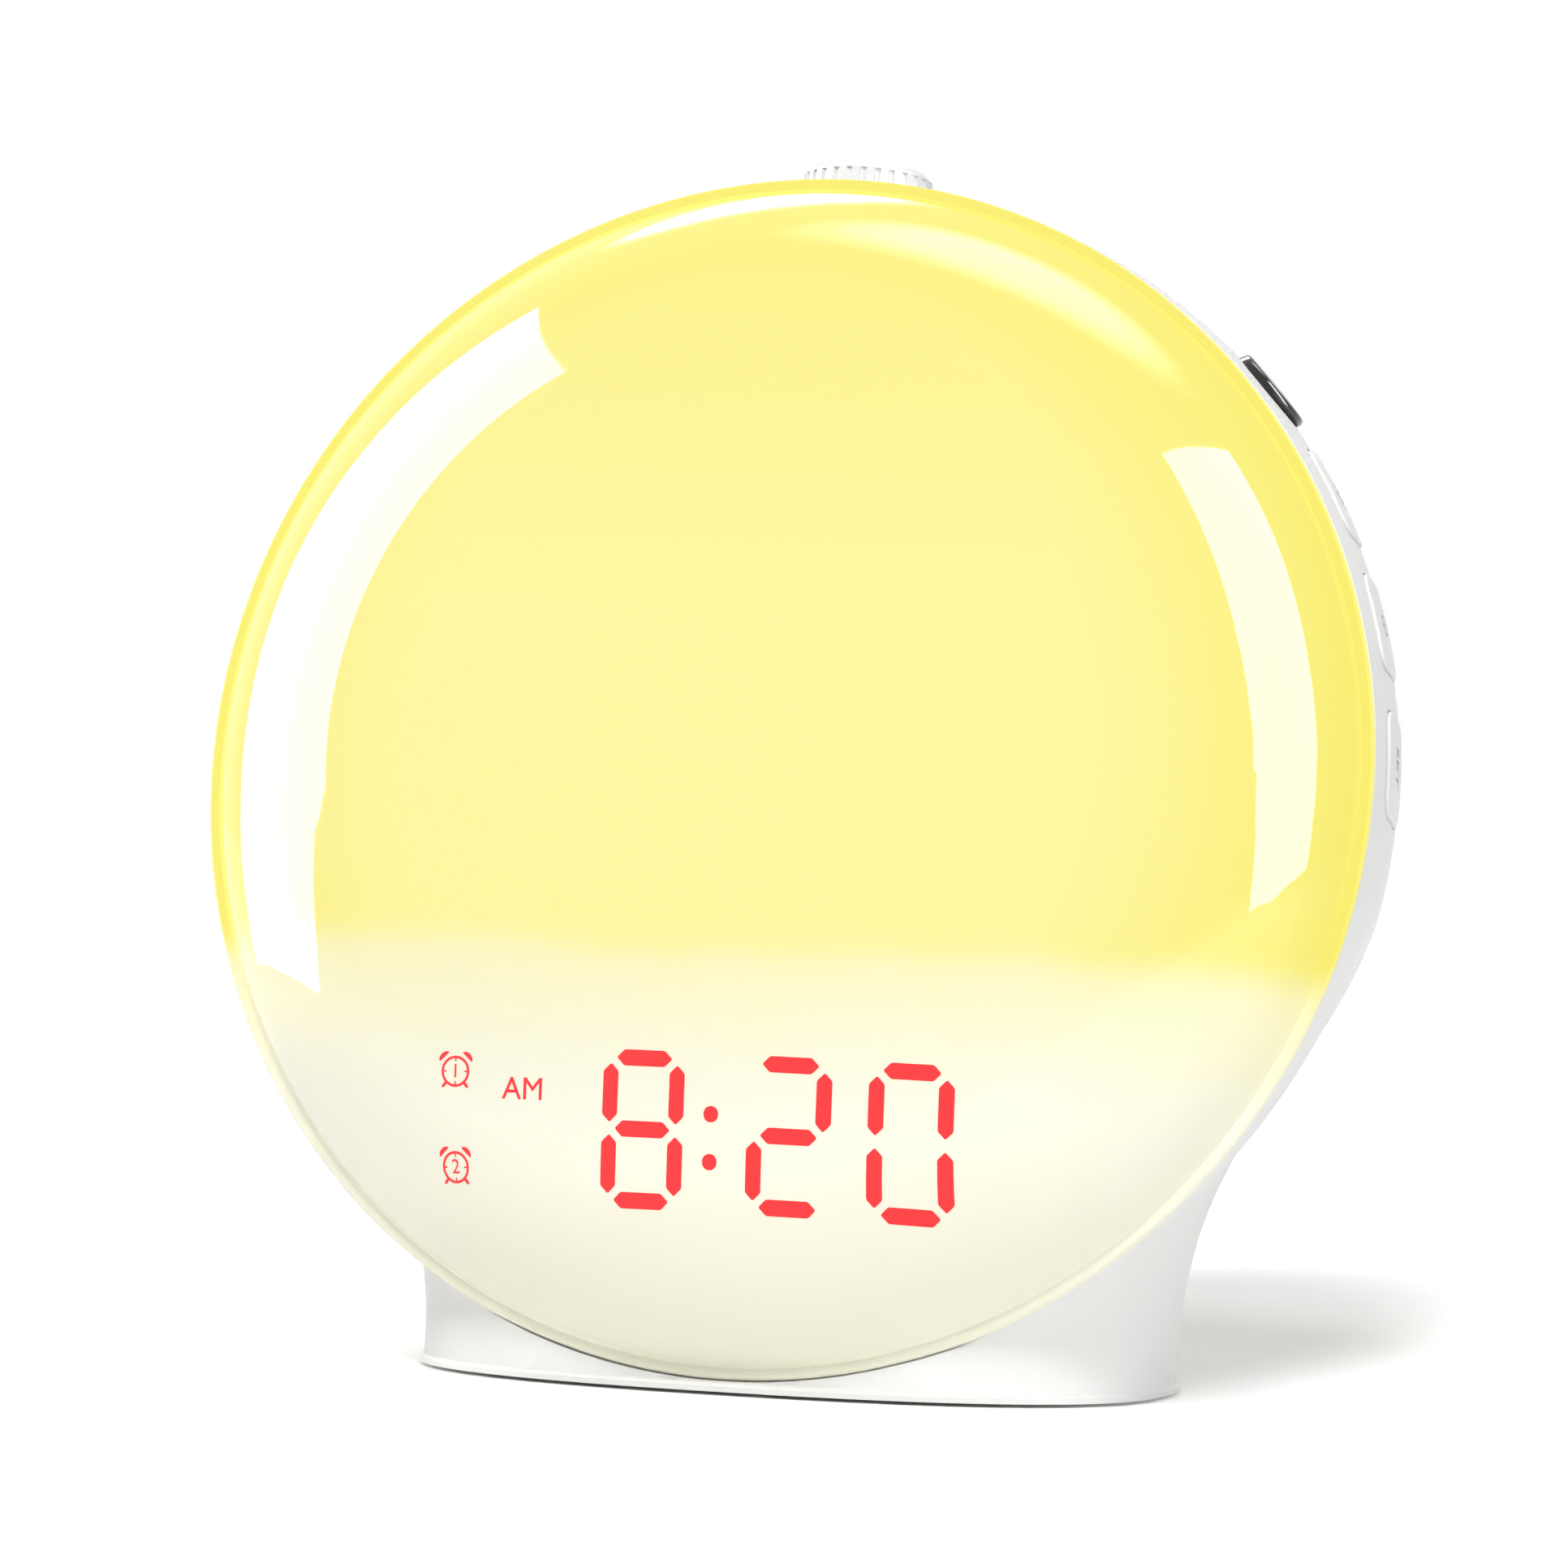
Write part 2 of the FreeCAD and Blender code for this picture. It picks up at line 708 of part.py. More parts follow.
rear_ring = cylinder("rear_ring", "2 * cover_radius + 8", "rear_wall", 0, 0, "-rear_wall")
cover_boss_level = -size.cover_thickness - size.cover_boss_depth
cover_bosses = pins("cover_bosses", "cover_boss_diameter", "cover_boss_depth", at_level(COVER_SPOTS, cover_boss_level))
rear_growth = joined("rear_growth", rear_ring, cover_bosses)
rear_growth.Placement = REAR

side_posts = pins("side_posts", "side_post_diameter", BEYOND, at_level(SIDE_POST_SPOTS, SIDE_BOARD_FACE))
side_posts.Placement = SIDE
dial_growth = joined(
    "dial_growth",
    cylinder("dial_seat", "seat_diameter", BEYOND, 0, 0, "rim_radius - seat_depth"),
    pins("encoder_posts", "encoder_post_diameter", BEYOND, at_level(ENCODER_POST_SPOTS, ENCODER_FLOOR)),
)
dial_growth.Placement = DIAL
base_bosses = pins("base_bosses", "base_boss_diameter", "base_boss_height", BASE_SCREW_SPOTS)
base_webs = joined(
    "base_webs",
    *[
        box(
            "base_web_%d" % index,
            12,
            3,
            "base_boss_height",
            math.copysign(size.base_boss_x + 6, spot.x),
            spot.y,
            spot.z,
        )
        for index, spot in enumerate(BASE_SCREW_SPOTS, start=1)
    ]
)
growth = common(
    "housing_growth",
    outer,
    joined("housing_growth_all", front_growth, rear_growth, side_posts, dial_growth, base_bosses, base_webs),
)
below_foot = box("below_foot", 300, 300, 100, 0, 0, PLATE_TOP - 100)
front_cuts = joined(
    "front_cuts",
    cylinder("front_recess", "2 * (rim_radius - lip_width)", "lip_depth + 5", 0, 0, "-lip_depth"),
    cylinder("rim_seat", "2 * rim_radius + 0.6", 5, 0, 0, "-dome_rim_thickness - dome_seat_gap"),
    pins("dome_screw_holes", "screw_shank + fit_gap", 10, at_level(DOME_BOSS_SPOTS, -LEDGE_BACK - 1)),
    pins("ear_pilots", PILOT, "ear_depth - 0.5", at_level(EAR_SPOTS, -size.lip_depth - size.ear_depth + 0.5)),
)
front_cuts.Placement = FRONT
rear_cuts = joined(
    "rear_cuts",
    cylinder("rear_opening", "2 * cover_opening_radius", "rear_wall + 10", 0, 0, "-rear_wall - 5"),
    cylinder("rear_rabbet", "2 * (cover_radius + fit_gap)", "cover_thickness + 5", 0, 0, "-cover_thickness"),
    pins("cover_pilots", PILOT, "cover_boss_depth - 0.5", at_level(COVER_SPOTS, cover_boss_level + 0.5)),
)
rear_cuts.Placement = REAR
side_cuts = joined(
    "side_cuts",
    *[
        shaped(name + "_button_hole", button_outline(name, size.button_gap, BUTTON_INNER, BUTTON_OUTER))
        for name in BUTTONS
    ],
    pins("side_pilots", SMALL_PILOT, 3, at_level(SIDE_POST_SPOTS, SIDE_BOARD_FACE))
)
side_cuts.Placement = SIDE
dial_cuts = joined(
    "dial_cuts",
    cylinder("dial_well", "dial_diameter + 2 * dial_running_gap", 10, 0, 0, "rim_radius + seat_rise"),
    cylinder("hub_hole", "dial_hub_diameter + 2 * dial_running_gap", 12, 0, 0, "rim_radius - seat_depth - 5"),
    pins("encoder_pilots", SMALL_PILOT, 3.4, at_level(ENCODER_POST_SPOTS, ENCODER_FLOOR)),
)
dial_cuts.Placement = DIAL
base_pilots = pins("base_pilots", PILOT, 7, BASE_SCREW_SPOTS)
inlet_hole = turned(
    cylinder("inlet_hole", "inlet_nose_diameter + 2 * inlet_gap", 20),
    Placement(Vector(size.inlet_x, 30, INLET_LEVEL), INLET_TURN),
)
housing = without(
    "housing",
    joined("housing_solid", wall, growth),
    below_foot,
    front_cuts,
    rear_cuts,
    side_cuts,
    dial_cuts,
    base_pilots,
    inlet_hole,
)
node(housing, "housing_shell")
doc.recompute()

# Diffuser dome: a shallow crown that rolls over into an upright rim
KNUCKLE_R = SEAM_RADIUS - size.dome_edge_radius * math.sin(math.radians(size.dome_edge_angle))
KNUCKLE_Z = -size.dome_edge_radius * math.cos(math.radians(size.dome_edge_angle))
CROWN_ANGLE = math.asin(KNUCKLE_R / (size.dome_crown_radius - size.dome_edge_radius))
CROWN_Z = KNUCKLE_Z - (size.dome_crown_radius - size.dome_edge_radius) * math.cos(CROWN_ANGLE)


def crown_point(inward, angle):
    radius = size.dome_crown_radius - inward
    return radius * math.sin(angle), CROWN_Z + radius * math.cos(angle)


def knuckle_point(inward, angle):
    radius = size.dome_edge_radius - inward
    return KNUCKLE_R + radius * math.sin(angle), KNUCKLE_Z + radius * math.cos(angle)


def knuckle_angle(inward, reach):
    """Angle at which the knuckle, moved inwards, stands at this distance from the axis."""
    return math.asin((reach - KNUCKLE_R) / (size.dome_edge_radius - inward))


def dome_path(inward, last_angle):
    """Half outline from the axis to the last angle of the knuckle, as steps of an outline."""
    middle = (CROWN_ANGLE + last_angle) / 2
    return [
        (*crown_point(inward, CROWN_ANGLE / 2), *crown_point(inward, CROWN_ANGLE)),
        (*knuckle_point(inward, middle), *knuckle_point(inward, last_angle)),
    ]


def dome_path_back(inward, last_angle):
    """The same half outline, from the last angle of the knuckle to the axis."""
    middle = (CROWN_ANGLE + last_angle) / 2
    return [
        (*knuckle_point(inward, middle), *crown_point(inward, CROWN_ANGLE)),
        (*crown_point(inward, CROWN_ANGLE / 2), *crown_point(inward, 0)),
    ]


def revolved(body, name, path):
    """Turn a closed half outline, given as radius and height, round the body's Z axis."""
    sketch = sketch_on(body, name + "_profile", "XZ_Plane")
    outline(sketch, path)
    turn = feature(body, "Revolution", name, sketch, Angle=360)
    turn.ReferenceAxis = (sketch, ["V_Axis"])
    body.Tip = turn
    return turn


EDGE_ANGLE = math.radians(size.dome_edge_angle)
inner_rim = knuckle_point(size.dome_wall, EDGE_ANGLE)
dome = doc.addObject("PartDesign::Body", "dome")
revolved(
    dome,
    "dome_shell",
    [
        crown_point(0, 0),
        *dome_path(0, EDGE_ANGLE),
        (size.rim_radius - size.dome_rim_chamfer, 0),
        (size.rim_radius, -size.dome_rim_chamfer),
        (size.rim_radius, -size.dome_rim_thickness),
        (SEAM_RADIUS, -size.dome_rim_thickness),
        (SEAM_RADIUS, -size.lip_depth),
        (inner_rim[0], -size.lip_depth),
        inner_rim,
        *dome_path_back(size.dome_wall, EDGE_ANGLE),
        crown_point(0, 0),
    ],
)
boss_sketch = sketch_on(dome, "dome_boss_circles", "XY_Plane", "-lip_depth")
pilot_sketch = sketch_on(dome, "dome_pilot_circles", "XY_Plane", "-lip_depth")
for angle in DOME_BOSS_ANGLES:
    where = ("(rim_radius - dome_boss_inset) * cos(%d)" % angle, "(rim_radius - dome_boss_inset) * sin(%d)" % angle)
    circle(boss_sketch, "dome_boss_diameter", *where)
    circle(pilot_sketch, PILOT, *where)
feature(dome, "Pad", "dome_bosses", boss_sketch, Length="dome_boss_height")
dome_pilots = feature(dome, "Pocket", "dome_pilots", pilot_sketch, Length="dome_boss_height - 0.6")
dome_pilots.Reversed = True
node(dome, "diffuser_dome", FRONT)
screw_group("dome_screws", SCREW, at_level(DOME_BOSS_SPOTS, -LEDGE_BACK), TURNED_OVER, FRONT)

# Space in front of the reflector, up to just behind the dome
light_room = doc.addObject("PartDesign::Body", "light_room")
ROOM_INWARD = size.dome_wall + size.light_pipe_gap
FLANGE_BACK = -size.lip_depth
FLANGE_FRONT = FLANGE_BACK + size.reflector_wall
room_angle = knuckle_angle(ROOM_INWARD, REFLECTOR_FLANGE_RADIUS)
REFLECTOR_BACK = -size.reflector_depth - size.reflector_wall
revolved(
    light_room,
    "light_room_form",
    [
        crown_point(ROOM_INWARD, 0),
        *dome_path(ROOM_INWARD, room_angle),
        (REFLECTOR_FLANGE_RADIUS, FLANGE_BACK),
        (REFLECTOR_MOUTH_RADIUS, FLANGE_BACK),
        (size.reflector_floor_radius, REFLECTOR_BACK),
        (0, REFLECTOR_BACK),
        crown_point(ROOM_INWARD, 0),
    ],
)

# Light reflector: a white bowl cut off below by a shelf that keeps its light off the display
bowl = doc.addObject("PartDesign::Body", "reflector_bowl")
revolved(
    bowl,
    "reflector_form",
    [
        (0, -size.reflector_depth),
        (size.reflector_floor_radius, -size.reflector_depth),
        (REFLECTOR_MOUTH_RADIUS, FLANGE_FRONT),
        (REFLECTOR_FLANGE_RADIUS, FLANGE_FRONT),
        (REFLECTOR_FLANGE_RADIUS, FLANGE_BACK),
        (REFLECTOR_MOUTH_RADIUS, FLANGE_BACK),
        (size.reflector_floor_radius, REFLECTOR_BACK),
        (0, REFLECTOR_BACK),
        (0, -size.reflector_depth),
    ],
)
SHELF_BOTTOM = -size.shelf_level - size.reflector_wall
shelf_block = box("shelf_block", 200, "reflector_wall", 100, 0, SHELF_BOTTOM + size.reflector_wall / 2, -50)
shelf = common("reflector_shelf", light_room, shelf_block)
light_bosses = pins("light_bosses", 5, 2.5, at_level(LIGHT_SCREW_SPOTS, REFLECTOR_BACK - 2))
reflector = without(
    "reflector",
    joined("reflector_solid", bowl, shelf, light_bosses),
    box("below_shelf", 200, 100, 100, 0, SHELF_BOTTOM - 50, -50),
    pins(
        "reflector_screw_holes",
        "screw_shank + fit_gap",
        10,
        at_level([on_ring(EAR_RING_RADIUS, angle) for angle in REFLECTOR_EAR_ANGLES], FLANGE_BACK - 5),
    ),
    pins("light_pilots", SMALL_PILOT, 5, at_level(LIGHT_SCREW_SPOTS, REFLECTOR_BACK - 1.5)),
    cylinder("light_lead_hole", 6, 10, 0, -10, REFLECTOR_BACK - 5),
)
node(reflector, "light_reflector", FRONT)
screw_group(
    "reflector_screws",
    SCREW,
    [on_ring(EAR_RING_RADIUS, angle, FLANGE_FRONT) for angle in REFLECTOR_EAR_ANGLES],
    UPRIGHT,
    FRONT,
)

# Light board and its light-emitting chips
LIGHT_BOARD_TOP = -size.reflector_depth + size.board_thickness
light_board = without(
    "light_board_round",
    cylinder("light_board_disc", "light_board_diameter", "board_thickness", 0, 0, "-reflector_depth"),
    pins("light_board_holes", "small_screw_shank + fit_gap", 10, at_level(LIGHT_SCREW_SPOTS, -size.reflector_depth - 5)),
    cylinder("light_board_lead_hole", 6, 10, 0, -10, -size.reflector_depth - 5),
)
node(light_board, "light_board", FRONT)
chips = [box("led_centre", "led_side", "led_side", "led_height", 0, 0, LIGHT_BOARD_TOP)]
for index in range(int(size.led_ring_count)):
    turn = 360 * index / size.led_ring_count
    chips.append(
        turned(
            box("led_%d" % (index + 1), "led_side", "led_side", "led_height"),
            Placement(Vector(0, 0, LIGHT_BOARD_TOP), Rotation(Vector(0, 0, 1), turn))
            * Placement(Vector(size.led_ring_radius - size.led_side / 2, -size.led_side / 2, 0), Rotation()),
        )
    )
node(group("led_chips", *chips), "light_leds", FRONT)
screw_group("light_board_screws", SMALL_SCREW, at_level(LIGHT_SCREW_SPOTS, LIGHT_BOARD_TOP), UPRIGHT, FRONT)

# Display: carrier plate, module, board and the light pipes of the segments
PIPE_BACK = size.display_front
MODULE_BACK = size.display_front - size.display_depth
MODULE_X = (size.display_right - size.display_left) / 2
MODULE_Y = -(size.display_top + size.display_bottom) / 2
DISPLAY_POST_SPOTS = corners(35.0, 0.0, 0.0, -36.8)[::2] + corners(14.0, 0.0, 0.0, -66.0)[::2]
module_width = "display_left + display_right"
module_height = "display_bottom - display_top"
carrier_spots = [on_ring(EAR_RING_RADIUS, angle) for angle in CARRIER_EAR_ANGLES]
carrier_disc = cylinder("carrier_disc", "2 * (rim_radius - reflector_flange_inset)", "carrier_thickness", 0, 0, "-lip_depth")
carrier_half = box("carrier_half", 200, 60, 10, 0, "-carrier_top - 30", "-lip_depth - 5")
display_posts = pins(
    "display_posts", "display_post_diameter", -MODULE_BACK - size.lip_depth, at_level(DISPLAY_POST_SPOTS, MODULE_BACK)
)
carrier = without(
    "carrier",
    joined("carrier_solid", common("carrier_plate", carrier_disc, carrier_half), display_posts),
    common(
        "carrier_window",
        box(
            "carrier_window_block",
            module_width + " + 2 * window_gap",
            module_height + " + 2 * window_gap",
            20,
            MODULE_X,
            MODULE_Y,
            -10,
        ),
        cylinder("carrier_window_limit", "2 * (rim_radius - display_limit_inset + window_gap)", 40, 0, 0, -20),
    ),
    pins("carrier_screw_holes", "screw_shank + fit_gap", 10, at_level(carrier_spots, -8)),
    pins("display_pilots", SMALL_PILOT, 3.6, at_level(DISPLAY_POST_SPOTS, MODULE_BACK)),
)
node(carrier, "display_carrier", FRONT)
screw_group(
    "carrier_screws", SCREW, at_level(carrier_spots, size.carrier_thickness - size.lip_depth), UPRIGHT, FRONT
)
module = common(
    "module",
    box("module_block", module_width, module_height, "display_depth", MODULE_X, MODULE_Y, MODULE_BACK),
    cylinder("module_limit", "2 * (rim_radius - display_limit_inset)", 40, 0, 0, -20),
)
node(module, "display_module", FRONT)
board_level = MODULE_BACK - size.board_thickness
board_middle = "-(display_board_top + display_board_bottom) / 2"
display_board = without(
    "display_board_cut",
    common(
        "display_board_round",
        box(
            "display_board_block",
            "2 * display_board_half",
            "display_board_bottom - display_board_top",
            "board_thickness",
            0,
            board_middle,
            board_level,
        ),
        cylinder("display_board_limit", "2 * (rim_radius - display_limit_inset)", 40, 0, 0, -20),
    ),
    pins("display_board_holes", "small_screw_shank + fit_gap", 10, at_level(DISPLAY_POST_SPOTS, -12)),
)
node(display_board, "display_board", FRONT)
screw_group("display_screws", SMALL_SCREW, at_level(DISPLAY_POST_SPOTS, board_level), TURNED_OVER, FRONT)


def bar_segment(x, y, length, upright):
    """Bar with pointed ends that stands on the module and ends behind the dome."""
    half = length / 2
    thick = size.segment_thickness / 2
    points = [(-half, 0), (thick - half, thick), (half - thick, thick), (half, 0), (half - thick, -thick)]
    points.append((thick - half, -thick))
    if upright:
        points = [(b, a) for a, b in points]
    corners_3d = [Vector(x + a, y + b, PIPE_BACK) for a, b in points]
    face = Part.Face(Part.makePolygon(corners_3d + corners_3d[:1]))
    return face.extrude(Vector(0, 0, BEYOND))


def digit_bars(x, segments):
    across = size.digit_width
    long_bar = size.digit_height / 2 - size.segment_joint / 2
    middle = -size.digit_centre_level
    places = {
        "a": (0, 2, False),
        "d": (0, -2, False),
        "g": (0, 0, False),
        "b": (1, 1, True),
        "c": (1, -1, True),
        "e": (-1, -1, True),
        "f": (-1, 1, True),
    }
    bars = []
    for segment in segments:
        side, step, upright = places[segment]
        length = long_bar - size.segment_joint if upright else across - size.segment_joint
        bars.append(
            bar_segment(x + side * across / 2, middle + step * size.digit_height / 4, length, upright)
        )
    return bars


pipes = [solid for _, x, segments in DIGITS for solid in digit_bars(x, segments)]
for level in (size.colon_upper_level, size.colon_lower_level):
    half = size.colon_side / 2
    pipes.append(
        block(size.colon_x - half, size.colon_x + half, -level - half, half - level, PIPE_BACK, PIPE_BACK + BEYOND)
    )
for x, level in MARKS:
    pipes.append(bar(size.mark_diameter, PIPE_BACK, PIPE_BACK + BEYOND, x, -level))
digits = common("digit_pipes", shaped("digit_pipe_bars", Part.makeCompound(pipes)), light_room)
node(digits, "digit_segments", FRONT)
doc.recompute()

# Dial: a ribbed knob on the shaft of a turning switch under the top of the housing
knob, knob_sketch = body_with_sketch("knob", "XY_Plane")
circle(knob_sketch, "dial_diameter")
feature(knob, "Pad", "knob_disc", knob_sketch, Length="dial_height")
rib_sketch = sketch_on(knob, "knob_grip", "XY_Plane", "0.6")
circle(rib_sketch, "dial_rib_width", "dial_diameter / 2 + dial_rib_width / 2 - dial_rib_depth")
grip = feature(knob, "Pocket", "knob_groove", rib_sketch, Length="dial_height - 1.6")
grip.Reversed = True
polar(knob, "knob_grooves", grip, "dial_rib_count")
hub_sketch = sketch_on(knob, "knob_hub_circle", "XY_Plane")
circle(hub_sketch, "dial_hub_diameter")
hub = feature(knob, "Pad", "knob_hub", hub_sketch, Length="dial_hub_drop")
hub.Reversed = True
bore_sketch = sketch_on(knob, "knob_bore_circle", "XY_Plane", "-dial_hub_drop")
circle(bore_sketch, "shaft_diameter + 2 * shaft_running_gap")
bore = feature(knob, "Pocket", "knob_bore", bore_sketch, Length="dial_hub_drop + dial_height - shaft_cap_wall")
bore.Reversed = True
doc.recompute()
top_edge = [
    "Edge%d" % (index + 1)
    for index, edge in enumerate(knob.Shape.Edges)
    if edge.BoundBox.ZMin > size.dial_height - 0.01
]
chamfer = knob.newObject("PartDesign::Chamfer", "knob_top_edge")
chamfer.Base = (bore, top_edge)
bind(chamfer, Size="dial_chamfer")
knob.Tip = chamfer
node(knob, "dial_knob", DIAL * Placement(Vector(0, 0, DIAL_FLOOR), UPRIGHT))

SHAFT_TOP = DIAL_FLOOR + size.dial_height - size.shaft_cap_wall - 0.1
SHAFT_FOOT = ENCODER_FLOOR + 1.5
shaft = without(
    "shaft_with_flat",
    cylinder("shaft_bar", "shaft_diameter", SHAFT_TOP - SHAFT_FOOT, 0, 0, SHAFT_FOOT),
    box("shaft_flat_cut", 10, "shaft_flat * 2", 10, 0, "shaft_diameter / 2", ENCODER_TOP + 2),
)
node(shaft, "encoder_shaft", DIAL)
encoder = without(
    "encoder",
    joined(
        "encoder_solid",
        box("encoder_block", "encoder_width", "encoder_width", "encoder_depth", 0, 0, ENCODER_FLOOR),
        cylinder("encoder_collar", "encoder_collar_diameter", "encoder_collar_height", 0, 0, ENCODER_TOP),
    ),
    cylinder("encoder_bore", "shaft_diameter + 2 * shaft_running_gap", 20, 0, 0, SHAFT_FOOT - 0.3),
)
node(encoder, "encoder_body", DIAL)
encoder_board = without(
    "encoder_board_cut",
    box(
        "encoder_board_block",
        "encoder_board_length",
        "encoder_board_width",
        "board_thickness",
        0,
        0,
        ENCODER_FLOOR - size.board_thickness,
    ),
    pins("encoder_board_holes", "small_screw_shank + fit_gap", 10, at_level(ENCODER_POST_SPOTS, ENCODER_FLOOR - 5)),
)
node(encoder_board, "encoder_board", DIAL)
screw_group(
    "encoder_screws",
    SMALL_SCREW,
    at_level(ENCODER_POST_SPOTS, ENCODER_FLOOR - size.board_thickness),
    TURNED_OVER,
    DIAL,
)

# Side buttons: each cap follows the housing outside, with a flange that holds it in from behind
SWITCH_TOP = SIDE_BOARD_FACE + size.switch_height
PLUNGER_TOP = SWITCH_TOP + size.plunger_rise
flange_limit = body_solid(size.shell_wall + size.fit_gap)
cap_hollow = body_solid(size.shell_wall + size.fit_gap + size.button_flange_thickness)
UNSIDE = SIDE.inverse()
for name, spot in BUTTONS.items():
    proud = size.power_button_proud if name == "power" else size.button_proud
    face = placed(body_solid(-proud), UNSIDE)
    cap = button_outline(name, 0.0, BUTTON_INNER, BUTTON_OUTER).common(face)
    rim = [
        edge
        for edge in cap.Edges
        if edge.BoundBox.ZMin > 70.0 and (edge.BoundBox.YLength > 1.0 or edge.BoundBox.XLength > 1.0)
    ]
    cap = cap.makeFillet(min(proud, 0.8) * 0.9, rim)
    flange = button_outline(name, size.button_flange, BUTTON_INNER, BUTTON_OUTER).common(placed(flange_limit, UNSIDE))
    skin = cap.fuse(flange).cut(placed(cap_hollow, UNSIDE))
    stem = bar(size.stem_diameter, PLUNGER_TOP, spot.z - 2, spot.x)
    cap_shape = shaped(name + "_button_cap", skin.fuse(stem).removeSplitter())
    node(cap_shape, name + "_button", SIDE)
    plunger = cylinder(
        name + "_plunger", "plunger_diameter", "plunger_rise + plunger_depth", 0, 0, SWITCH_TOP - size.plunger_depth
    )
    node(
        turned(plunger, SIDE * Placement(Vector(spot.x, 0, SWITCH_TOP - size.plunger_depth), UPRIGHT)),
        name + "_plunger",
    )
switches = without(
    "switches",
    joined(
        "switch_blocks",
        *[
            box(name + "_switch", "switch_side", "switch_side", "switch_height", spot.x, 0, SIDE_BOARD_FACE)
            for name, spot in BUTTONS.items()
        ]
    ),
    pins(
        "switch_wells",
        "plunger_diameter + 2 * plunger_gap",
        "plunger_depth + button_travel + 0.3",
        at_level(BUTTONS.values(), SWITCH_TOP - size.plunger_depth - size.button_travel - 0.3),
    ),
)
node(switches, "tact_switches", SIDE)
side_board = without(
    "side_board_cut",
    box(
        "side_board_block",
        "side_board_length",
        "side_board_width",
        "board_thickness",
        0,
        "-side_board_shift",
        "rim_radius - side_board_depth",
    ),
    pins(
        "side_board_holes", "small_screw_shank + fit_gap", 10, at_level(SIDE_POST_SPOTS, SIDE_BOARD_LEVEL - 5)
    ),
)
node(side_board, "button_board", SIDE)
screw_group(
    "button_board_screws", SMALL_SCREW, at_level(SIDE_POST_SPOTS, SIDE_BOARD_LEVEL), TURNED_OVER, SIDE
)

# Base plate with a raised tray, board posts, the battery opening and its bayonet groove
PLATE_FLOOR = size.foot_pad_height
DOOR_TOP = PLATE_FLOOR + size.door_thickness
TAB_FLOOR = DOOR_TOP - size.door_tab_thickness
plate = foot_outline(size.plate_overhang, PLATE_FLOOR, PLATE_TOP)
top_edges = [edge for edge in plate.Edges if edge.BoundBox.ZMin > PLATE_TOP - 0.01]
plate = plate.makeChamfer(0.4, top_edges)
tray = foot_outline(-size.shell_wall - size.fit_gap, PLATE_TOP, TRAY_TOP)
tray = tray.common(block(-80, 80, -size.tray_front, size.tray_back, PLATE_TOP, TRAY_TOP))
board_spots = corners(
    size.main_board_length / 2 - size.board_post_inset,
    size.main_board_width / 2 - size.board_post_inset,
    TRAY_TOP,
    BOARD_Y,
)
foot_spots = corners(size.foot_pad_spacing_x / 2, size.foot_pad_spacing_y / 2, 0, FOOT_Y + 4)
head_level = PLATE_FLOOR + 1.5
groove_radius = "door_diameter / 2 + door_tab_reach + fit_gap"
notch_length = "2 * (%s)" % groove_radius
notch = turned(
    box("door_notch", notch_length, "door_tab_width + 2 * fit_gap", 3),
    Placement(Vector(0, BOARD_Y, PLATE_FLOOR - 1), Rotation(Vector(0, 0, 1), size.door_turn))
    * Placement(
        Vector(
            -size.door_diameter / 2 - size.door_tab_reach - size.fit_gap,
            -size.door_tab_width / 2 - size.fit_gap,
            0,
        ),
        UPRIGHT,
    ),
)
base = without(
    "base",
    joined(
        "base_solid",
        shaped("plate_edge", plate),
        shaped("tray", tray),
        pins("board_posts", "board_post_diameter", "main_board_level - %s" % TRAY_TOP, board_spots),
    ),
    cylinder("door_opening", "door_diameter + 2 * door_gap", 10, 0, BOARD_Y, 0),
    cylinder("door_groove", notch_length, 5, 0, BOARD_Y, TAB_FLOOR - 0.1),
    notch,
    pins("foot_recesses", "foot_pad_diameter + fit_gap", "foot_pad_recess + 1", at_level(foot_spots, PLATE_FLOOR - 1)),
    pins("base_screw_heads", "screw_head + 2 * fit_gap", 10, at_level(BASE_SCREW_SPOTS, head_level - 10)),
    pins("base_screw_holes", "screw_shank + fit_gap", 10, at_level(BASE_SCREW_SPOTS, 0)),
    pins("board_pilots", SMALL_PILOT, 5, at_level(board_spots, size.main_board_level - 3.4)),
)
node(base, "base_plate")
feet = group(
    "feet",
    *[
        cylinder("foot_pad_%d" % index, "foot_pad_diameter", "foot_pad_height + foot_pad_recess", spot.x, spot.y, 0)
        for index, spot in enumerate(foot_spots, start=1)
    ]
)
node(feet, "rubber_feet")
screw_group("base_screws", SCREW, at_level(BASE_SCREW_SPOTS, head_level), TURNED_OVER)

# Battery door, cell, and the holder that stands on the tray over them
door, door_sketch = body_with_sketch("door", "XY_Plane")
circle(door_sketch, "door_diameter")
feature(door, "Pad", "door_disc", door_sketch, Length="door_thickness")
tab_sketch = sketch_on(door, "door_tab_outline", "XY_Plane", "door_thickness - door_tab_thickness")
rectangle(tab_sketch, "door_diameter + 2 * door_tab_reach", "door_tab_width")
feature(door, "Pad", "door_tabs", tab_sketch, Length="door_tab_thickness")
slot_sketch = sketch_on(door, "door_slot_outline", "XY_Plane")
rectangle(slot_sketch, "door_slot_length", "door_slot_width")
slot = feature(door, "Pocket", "door_slot", slot_sketch, Length="door_slot_depth")
slot.Reversed = True
door.Tip = slot
node(door, "battery_door", Placement(Vector(0, BOARD_Y, PLATE_FLOOR), UPRIGHT))
CELL_FLOOR = DOOR_TOP + 0.1
CELL_TOP = CELL_FLOOR + size.cell_height
cell = joined(
    "cell",
    cylinder("cell_can", "cell_diameter", "cell_height - 0.4", 0, 0, 0.4),
    cylinder("cell_lid", "cell_diameter - 2.4", 0.6),
)
node(cell, "coin_cell", Placement(Vector(0, BOARD_Y, CELL_FLOOR), UPRIGHT))
